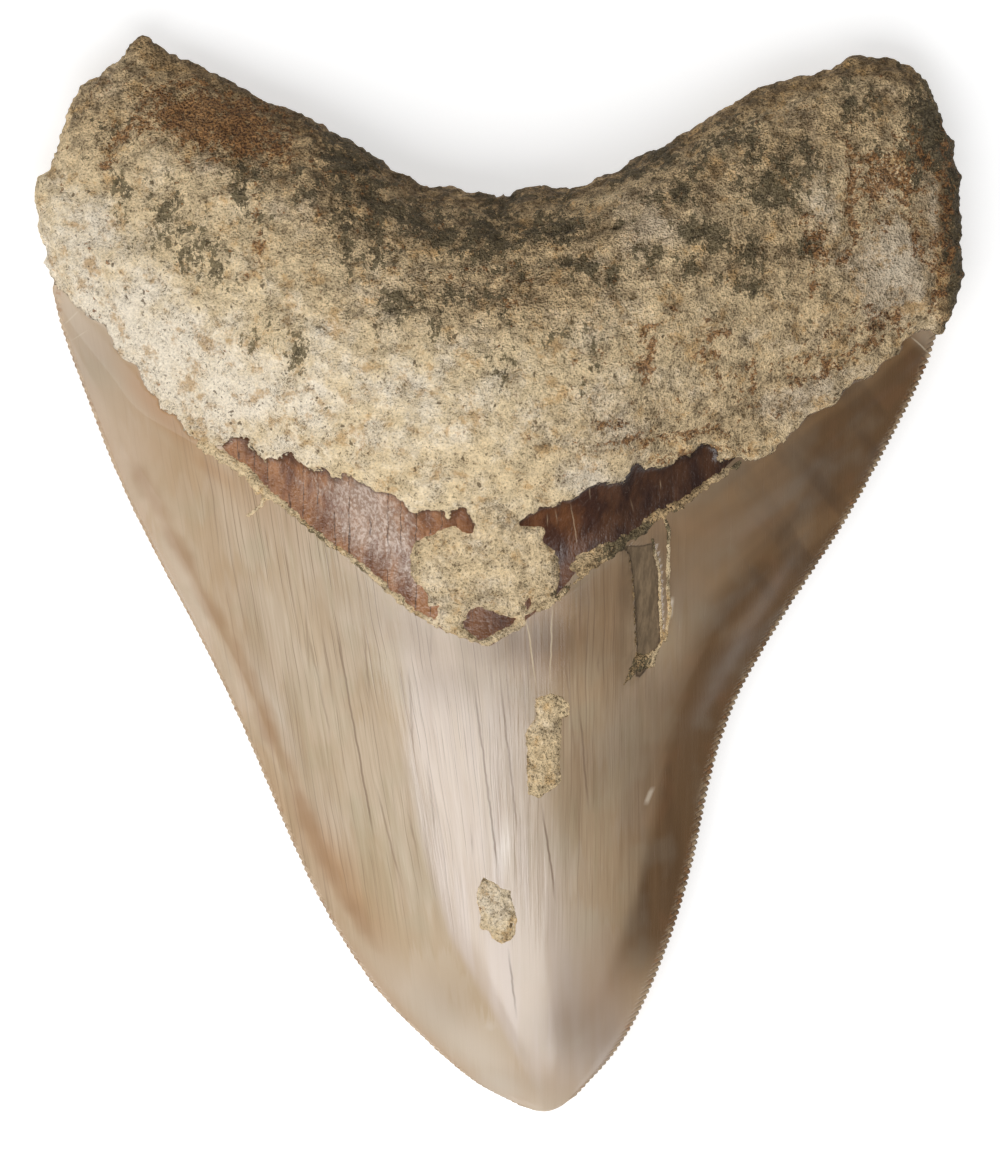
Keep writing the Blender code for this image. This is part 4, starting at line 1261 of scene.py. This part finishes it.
def neck_band(g, p):
    clouds = g.noise(g.stretch(p.where, (1.0, 0.4, 1.0), (3, 3, 3)), 0.35, 3.0, 0.6)
    light = g.ease(0.36, 0.64, clouds)
    left, middle, right = (g.mix(light, *pair) for pair in (LEFT_BAND, MIDDLE_BAND, RIGHT_BAND))
    band = g.mix(g.ease(8.0, 18.0, p.x), g.mix(p.to_right, left, middle), right)
    band = g.darken(band, g.plus(g.times(p.fibre, 0.9), 0.55))
    band = g.paint(band, line_mask(g, p, BAND_CRACKS, 0.07, fade=1.5), 0.7, BAND_LINE)
    crinkle = g.noise(g.stretch(p.where, (1.0, 0.5, 1.0)), 1.1, 3.0, 0.75, 0.8)
    sheen_grain = g.noise(g.stretch(p.where, (1.0, 0.6, 1.0), (2, 5, 1)), 2.4, 1.0, 0.75)
    # A painted sheen on the left of the band, broken up by wrinkles.
    painted_sheen = g.ease(0.1, 0.95, g.plus(g.mark("painted_sheen"), g.swing(crinkle, 1.6)))
    band = g.paint(band, painted_sheen, 0.78, g.mix(g.ease(0.40, 0.64, sheen_grain), SHEEN, BRIGHT_SHEEN))
    splits = g.ease(0.05, 0.01, g.uneven_lines(g.plus(p.x, p.fibre), 0.45))
    splits = g.times(splits, g.ease(0.25, 0.5, light))
    band = g.paint(band, splits, g.blend(p.to_right, 0.75, 0.4), BAND_SPLIT)
    return g.mix(g.ease(-0.9, 0.1, g.mark("crust")), band, g.mix(0.6, band, BAND_SHADOW))


# %% [markdown]
# ## All skins together
# The three skins and the dull floor of the furrow meet at the borders. Colour, roughness and
# height are blended by the same masks, so a border never shows in one of them alone.

# %% The tooth's material
DULL, LIGHT_DULL, DULL_RIM = (0.118, 0.080, 0.045), (0.23, 0.160, 0.092), (0.050, 0.030, 0.016)


def tooth_colour(g, p, is_band, is_root, in_furrow, sand):
    enamel = worn_edges(g, p, cracked_enamel(g, p, streaked_enamel(g, p)))
    dull = g.mix(g.ease(0.3, 0.7, p.fibre), DULL, LIGHT_DULL)
    dull = g.paint(dull, g.ease(0.42, 0.05, g.mark("furrow")), 0.8, DULL_RIM)
    skin = g.mix(in_furrow, g.mix(is_band, enamel, neck_band(g, p)), dull)
    return g.mix(is_root, skin, sand)


def tooth_roughness(g, p, is_band, rough_skin):
    rough = g.plus(g.times(p.fine, 0.16), g.times(p.streaks, 0.16), g.times(p.brown, 0.1))
    rough = g.blend(is_band, rough, g.plus(g.times(p.fibre, 0.3), 0.12))
    return g.blend(rough_skin, rough, 0.92)


def tooth_height(g, p, is_band, is_root, sand):
    height = g.plus(g.times(p.streaks, 0.2), g.times(p.fine, 0.08))
    height = g.times(height, g.times(p.near_crest, g.blend(p.crest_pale_and_highlight, 0.3, 1.0)))
    wrinkle = g.times(g.noise(p.where, 1.7, 2.0, 0.6), g.blend(p.to_right, 0.45, 0.12))
    band = g.plus(g.times(p.fibre, g.blend(p.to_right, 0.3, 0.14)), wrinkle)
    return g.blend(is_root, g.blend(is_band, height, band), sand)


def tooth_material():
    material, g, surface = new_material("fossil tooth")
    p = tooth_patterns(g)
    sand_colour, sand_height = g.sand(p.where, ("Pale", "Dusk", "Stain", "Rust"))
    fray = g.swing(g.noise(p.where, 1.5, 3.0, 0.7), 1.8)
    is_root = g.ease(-0.06, 0.06, g.plus(g.calc("SUBTRACT", g.mark("crust"), 0.05), fray))
    is_band = g.ease(-0.05, 0.05, g.plus(p.neck, g.times(fray, 0.2)))
    in_furrow = g.ease(-0.05, 0.1, g.mark("furrow"))
    skin = tooth_colour(g, p, is_band, is_root, in_furrow, sand_colour)
    g.feed(surface.inputs["Base Color"], skin)
    rough = tooth_roughness(g, p, is_band, g.calc("MAXIMUM", is_root, in_furrow))
    g.feed(surface.inputs["Roughness"], rough)
    height = tooth_height(g, p, is_band, is_root, sand_height)
    bump = g.add("ShaderNodeBump", {"Height": height, "Distance": SAND_BUMP})
    g.feed(surface.inputs["Normal"], bump)
    return material


tooth_mesh.materials.append(tooth_material())
print("nodes in the tooth's material:", len(tooth_mesh.materials[0].node_tree.nodes))

# %% [markdown]
# ## Crusts of sand
# Where sand still sticks to the crown it lies as a thin scab: a flat top, a ragged rim, and grains
# and pits all over. Each starts as a fine grid over its outline. Points far outside the outline are
# deleted, the sheet is extruded to a closed body, and its top is lifted off the tooth by a height
# that grows from the rim inwards.

# %% Sand for the crusts
# Stains on the crusts. The two thin ones along the left seam paint its shadow side, and the
# strongest, by the furrow, paints the shade of a hole.
CRUST_STAINS_AND_SHADE = [
    (19.6, 4.9, 2.8, 1.1, 25, 2), (22.8, 6.6, 1.6, 0.7, 35, 1.2), (-24, 4.6, 3, 0.5, -40, 0.6),
    (-19.5, 1, 2.5, 0.4, -40, 0.6), (33.4, 16.3, 1, 0.8, 30, 1.8), (18.6, -13, 1.5, 0.8, 30, 0.7),
    (-36.5, 15.6, 2, 0.8, -30, 0.4), (8.8, -1.6, 1.2, 0.6, 40, 0.7),
]
CRUST_PALE = [(-0.3, -46.5, 3, 5, 0, 0.6), (-2, 0, 10, 6, 0, 0.25)]
CRUST_DUSK = [
    (6.5, -23, 3, 7, 0, 0.12), (18.8, -3.5, 1.2, 8, 0, 1.5), (18.4, -13.8, 1.6, 1.6, 0, 1),
    (24.5, 9.8, 6, 0.9, 33, 0.6), (14, 2, 5, 1.4, 30, 0.5),
]
# The rims of the crusts are painted darker, for dirt and the shadow at their edges.
ALL_DUSK, RIM_DIRT_AND_SHADOW = 0.34, 0.2  # how dusky all crusts are, and how much more so at their rims


def crust_material():
    material, g, surface = new_material("sand crust")
    tone, height = g.sand(place_in_mm(g), ("Pale", "Dusk", "Stain"))
    g.feed(surface.inputs["Base Color"], tone)
    g.feed(surface.inputs["Roughness"], 0.95)
    bump = g.add("ShaderNodeBump", {"Height": height, "Distance": SAND_BUMP})
    g.feed(surface.inputs["Normal"], bump)
    return material


def finish_crust(sheet, name, seen, depth):
    """Makes the sheet an object that remembers its stains."""
    bmesh.ops.scale(sheet, vec=(MM, MM, MM), verts=sheet.verts)
    bmesh.ops.recalc_face_normals(sheet, faces=sheet.faces)
    mesh = bpy.data.meshes.new(name)
    sheet.to_mesh(mesh)
    sheet.free()
    dusk = ALL_DUSK + spot_strength(seen, CRUST_DUSK) + RIM_DIRT_AND_SHADOW * ease(0.3, 0.0, depth)
    remember(mesh, "pale", spot_strength(seen, CRUST_PALE))
    remember(mesh, "dusk", dusk)
    remember(mesh, "stain", spot_strength(seen, CRUST_STAINS_AND_SHADE))
    mesh.shade_smooth()
    mesh.materials.append(sand_material)
    made = bpy.data.objects.new(name, mesh)
    bpy.context.scene.collection.objects.link(made)
    return made


sand_material = crust_material()

# %% Sheets of sand
RIM = 0.45  # how far a sheet runs on outside its outline, where it dips under the enamel
RIM_SLOPE = 0.6
SUNK = 0.55  # how far the underside lies below the tooth's surface
RIM_SHARE, SWELL_REACH = 0.25, 1.2  # the rim's share of the thickness, and where all is reached
GRAIN_HEIGHT = 0.3
tooth_tree = BVHTree.FromObject(tooth, bpy.context.evaluated_depsgraph_get())


def ground_at(px, py):
    point = tooth_tree.ray_cast(Vector((px * MM, py * MM, 0.1)), Vector((0, 0, -1)))[0]
    return 0.0 if point is None else point.z / MM


def flat_sheet(depth_of, low, high, spacing, ragged, seed):
    """A flat grid cut to a ragged outline, whose points remember how deep inside it they lie."""
    low, high = np.array(low, float), np.array(high, float)
    count = np.ceil((high - low) / spacing).astype(int)
    sheet = bmesh.new()
    bmesh.ops.create_grid(sheet, x_segments=count[0], y_segments=count[1], size=0.5)
    points = np.array([(low + (np.array(v.co.xy) + 0.5) * (high - low)) for v in sheet.verts])
    flat = np.column_stack([points, np.zeros(len(points))])
    depth = depth_of(points) + ragged * uneven(flat, 1.1, 3, seed=seed)
    kept = sheet.verts.layers.float.new("depth")
    for vert, (px, py), value in zip(sheet.verts, points, depth):
        vert.co = (px, py, 0)
        vert[kept] = value
    outside = [v for v in sheet.verts if v[kept] < -RIM]
    bmesh.ops.delete(sheet, geom=outside, context="VERTS")
    loose = [v for v in sheet.verts if not v.link_faces]
    bmesh.ops.delete(sheet, geom=loose, context="VERTS")
    return sheet, kept


def make_sand(name, node, depth_of, low, high, thickness, spacing=0.2, ragged=0.35):
    """A crust whose depth_of says how deep a point lies inside its outline."""
    sheet, kept = flat_sheet(depth_of, low, high, spacing, ragged, seed=len(name))
    raised = bmesh.ops.extrude_face_region(sheet, geom=sheet.faces[:])["geom"]
    top = {item for item in raised if isinstance(item, bmesh.types.BMVert)}
    lift = uneven([v.co for v in sheet.verts], 0.9, 4, seed=2.0)
    for vert, roughness in zip(sheet.verts, lift):
        ground, depth = ground_at(vert.co.x, vert.co.y), vert[kept]
        if vert not in top:
            vert.co.z = ground - SUNK
        elif depth < 0:
            vert.co.z = ground + depth * RIM_SLOPE
        else:
            swell = RIM_SHARE + (1 - RIM_SHARE) * ease(0, SWELL_REACH, depth)
            body = thickness * swell * ease(0, 0.25, depth)
            vert.co.z = ground + body + GRAIN_HEIGHT * roughness * ease(0, 0.5, depth)
    seen_from_above = np.array([vert.co.xy for vert in sheet.verts])
    depths = np.array([vert[kept] for vert in sheet.verts])
    made = finish_crust(sheet, name, seen_from_above, depths)
    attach(made, "root")
    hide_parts(node)
    print(name, "faces:", len(made.data.polygons))


# %% [markdown]
# ## The patch on the neck
# The largest crust covers the point of the V. It has two windows through which the band shows, and
# a window is simply an outline in which the depth is turned round.

# %% The neck patch
NECK_PATCH = [
    (-11.8, 5.1), (-12.3, 2.5), (-12.2, 0.2), (-11.1, -1.2), (-10.1, -2.2), (-9.7, -4.1),
    (-8.4, -4.1), (-8.8, -6.4), (-7.8, -7.4), (-5.5, -8.3), (-2.7, -9.3), (-1.3, -9.7), (0, -8.9),
    (1.8, -7.9), (3.6, -6.9), (3.8, -5.4), (6.3, -3.7), (7.7, -3.4), (8.5, -0.5), (8.1, 2.9),
    (7.3, 3.9), (6, 4.7), (6.2, 6.5), (5.2, 7.1), (2.9, 7.1), (2.7, 8.5), (0.1, 10), (-2.9, 9.3),
    (-3.2, 7.6), (-3.8, 6), (-5, 6.1), (-6, 7.1), (-7.1, 6.9), (-8.5, 6.2), (-10.5, 5.3),
]
WINDOWS = [
    [
        (-3.6, -4.4), (-2.5, -4.3), (-0.6, -5), (0.8, -5.5), (2.4, -5.8), (1.4, -6.9), (0, -7.5),
        (-1.5, -8.5), (-2.7, -8.8), (-3.6, -7.9), (-5, -7.1), (-4.5, -5.4),
    ],
    [(4.2, -2.9), (4.6, -3.7), (3.9, -4.7), (3.6, -3.7)],
]


def neck_patch_depth(points):
    depth = depth_in(points, NECK_PATCH)
    for window in WINDOWS:
        depth = np.minimum(depth, -depth_in(points, window))
    return depth


make_sand(
    "neck_patch", "neck_sand_patch", neck_patch_depth, (-13.5, -11), (10, 11), 0.9, ragged=0.3
)

# %% [markdown]
# ## The seams
# Along both arms of the neck line a ribbon of sand fills the step between enamel and band. It is a
# line with a half width that changes from place to place. On the right, three threads of sand also
# run down the sides of the furrow, and more sand lies at its foot.

# %% Lines of the seams
SEAM_LEFT = [
    (-41.3, 18.4), (-37.9, 16.3), (-36.1, 15.2), (-34.4, 13.8), (-33.2, 12.1), (-30.7, 10.7),
    (-28, 8.2), (-24.2, 5), (-21.4, 3.2), (-17.8, 0.4), (-14.4, -2.7), (-11.6, -5), (-8.7, -6.7),
]
SPIKE = [(-32.6, 12.4), (-33, 9.9), (-34.9, 8.5)]
SEAM_RIGHT = [
    (33.5, 15.9), (32.1, 14.9), (28.7, 12.7), (25.2, 10), (22, 8.6), (19.7, 6.5), (17.1, 4.7),
    (14.1, 2.9), (11.8, 1.9), (9.4, -0.5), (7.8, -2.7), (5.7, -4.4),
]
SIDE_WINDOW = [(7.4, -0.5), (9.7, 1.2), (11.2, -0.1), (8.7, -2), (7.6, -2.7)]
FURROW_LEFT = [(17.9, 3.4), (18.5, 0.8), (18.8, -4.1), (19, -8.9), (19.3, -12.5)]
FURROW_MIDDLE = [(21.3, 5.1), (22.3, 0.8), (22.4, -2.9), (22.5, -5.4), (22.7, -8.9), (21.4, -11.7)]
FURROW_RIGHT = [(22.7, 8.8), (23.6, 6.5), (23.5, -1.8), (23.8, -4.7), (23.1, -8.9)]
FURROW_FOOT = [
    (17.4, -15.1), (18.1, -12.8), (19.3, -11), (21.8, -10.3), (21.8, -12.5), (19.3, -13.4),
]
FURROW_THREADS = [(FURROW_LEFT, 0.1), (FURROW_MIDDLE, 0.24), (FURROW_RIGHT, 0.26)]
# Half widths of the seams, from left to right.
LEFT_WIDTHS = [-41, -33, -31, -25, -9], [0.75, 0.85, 0.5, 0.38, 0.42]
RIGHT_WIDTHS = [5, 8, 11, 15, 18, 21, 24, 33], [0.6, 0.9, 1.35, 1.2, 0.6, 0.75, 0.6, 0.45]
THREAD_RIM = 3.0  # how much sharper a thread's rim is than a ribbon's


# %% The seams
def along_threads(points, lines):
    """How deep each point lies inside the widest of several threads, whose rims are even."""
    return np.max([THREAD_RIM * (half - distance_to(points, line)) for line, half in lines], axis=0)


def left_seam_depth(points):
    seam = np.interp(points[:, 0], *LEFT_WIDTHS) - distance_to(points, SEAM_LEFT)
    return np.maximum(seam, along_threads(points, [(SPIKE, 0.25)]))


def right_seam_depth(points):
    seam = np.interp(points[:, 0], *RIGHT_WIDTHS) - distance_to(points, SEAM_RIGHT)
    seam = np.minimum(seam, -depth_in(points, SIDE_WINDOW))
    threads = along_threads(points, FURROW_THREADS)
    return np.maximum.reduce([seam, threads, depth_in(points, FURROW_FOOT)])


for side, depth_of, *sizes in (  # the corners of each grid, thickness, spacing and raggedness
    ("left", left_seam_depth, (-42.5, -8.5), (-7.5, 19.5), 0.5, 0.17, 0.4),
    ("right", right_seam_depth, (4.5, -16.5), (34.5, 17), 0.45, 0.16, 0.42),
):
    make_sand(f"{side}_seam", f"neck_sand_seam_{side}", depth_of, *sizes)

# %% [markdown]
# ## Patches on the crown
# Two small scabs are left further down the crown. They are thinner than the crust on the neck, and
# a closed outline says all that there is to know about each.

# %% Patches on the crown
UPPER_PATCH = [
    (5, -16.9), (6.6, -16.5), (7.1, -16.2), (8.8, -16.7), (9.8, -17.9), (9.8, -19.4), (8.7, -19.8),
    (8.7, -22.9), (8.5, -25.6), (8.7, -28.5), (7.1, -29.9), (5.5, -30.9), (4.1, -30.2),
    (3.9, -27.5), (3.9, -24.3), (3.6, -21.9), (4.1, -21.1), (5, -19.8),
]
LOWER_PATCH = [
    (-2.1, -41.9), (-0.7, -42.5), (0.1, -43.2), (1.7, -43.9), (1.8, -45.2), (2.4, -46.8),
    (2.4, -49.4), (1.4, -50.8), (0.3, -51.3), (-1.1, -50.3), (-1.5, -49.4), (-2.7, -49.2),
    (-2.5, -47.3), (-3.1, -45.4), (-3.2, -44.2), (-2.8, -43.2),
]
PATCH_THICKNESS, PATCH_SPACING, PATCH_RAGGED = 0.35, 0.14, 0.2

for level, outline in (("upper", UPPER_PATCH), ("lower", LOWER_PATCH)):
    corners = np.array(outline)
    make_sand(
        f"{level}_patch", f"crown_sand_patch_{level}", lambda points: depth_in(points, outline),
        corners.min(axis=0) - 1, corners.max(axis=0) + 1,
        PATCH_THICKNESS, PATCH_SPACING, PATCH_RAGGED,
    )

# %% [markdown]
# ## Floor, light and camera
# A tooth that lies flat is best seen from straight above, as a specimen plate shows it. The floor
# is pale paper that also glows a little, so it stays almost white under a soft shadow.

# %% Floor
FLOOR_SIZE, FLOOR_DROP = 6.0, 0.0004
PAPER = {
    "Base Color": (0.6, 0.6, 0.6, 1), "Emission Color": (1, 1, 1, 1), "Emission Strength": 0.6,
    "Roughness": 0.9,
}
bpy.ops.mesh.primitive_plane_add(size=FLOOR_SIZE, location=(0, 0, -FLOOR_DROP))
floor = bpy.context.object
floor.name = "floor"
paper, g, surface = new_material("pale floor")
for name, value in PAPER.items():
    g.feed(surface.inputs[name], value)
floor.data.materials.append(paper)
print("floor, m:", tuple(round(side, 2) for side in floor.dimensions))

# %% [markdown]
# ## Lights
# The gloss of enamel only shows when it mirrors something bright, so one large softbox stands just
# where the crown's crest sends the camera's line of sight. A second one fills in from the left, and
# a dim white world keeps the shadows soft.

# %% Lights
WORLD_STRENGTH = 0.22


def softbox(name, direction, distance, size, radiance):
    """A rectangle of light that looks at the tooth from a direction given in degrees of tilt."""
    light = bpy.data.lights.new(name, "AREA")
    light.shape = "RECTANGLE"
    light.size, light.size_y = size
    light.energy = radiance * math.pi * size[0] * size[1]
    made = bpy.data.objects.new(name, light)
    aim = Vector((math.tan(math.radians(direction[0])), math.tan(math.radians(direction[1])), 1.0))
    made.location = aim.normalized() * distance
    made.rotation_euler = aim.to_track_quat("Z", "Y").to_euler()
    made.visible_camera = False
    bpy.context.scene.collection.objects.link(made)
    print(f"{name}: {light.energy:.2f} W")


softbox("key softbox", (-6, -25), 0.7, (0.65, 0.43), 4.2)
softbox("left softbox", (-55, 10), 0.8, (0.4, 0.6), 1.6)
world = bpy.data.worlds.new("studio")
world.use_nodes = True
world.node_tree.nodes["Background"].inputs["Color"].default_value = (1, 1, 1, 1)
world.node_tree.nodes["Background"].inputs["Strength"].default_value = WORLD_STRENGTH
bpy.context.scene.world = world
bpy.context.scene.view_settings.view_transform = "Standard"

# %% [markdown]
# ## Camera
# A very long lens far away shows the tooth almost without perspective, so its outline stays true.
# How far away follows from the height of the picture at the tooth.

# %% Camera
FRAME_HEIGHT = 162.1  # of the picture, at the tooth
FRAME_CENTRE = (0.14, -0.35)  # of the picture, on the tooth
LENS, SENSOR = 600.0, 36.0
camera_data = bpy.data.cameras.new("camera")
camera_data.lens = LENS
camera_data.sensor_width = SENSOR
camera = bpy.data.objects.new("camera", camera_data)
camera.location = (FRAME_CENTRE[0] * MM, FRAME_CENTRE[1] * MM, FRAME_HEIGHT * MM * LENS / SENSOR)
bpy.context.scene.collection.objects.link(camera)
bpy.context.scene.camera = camera
print(f"camera: {camera.location.z:.2f} m above the floor")
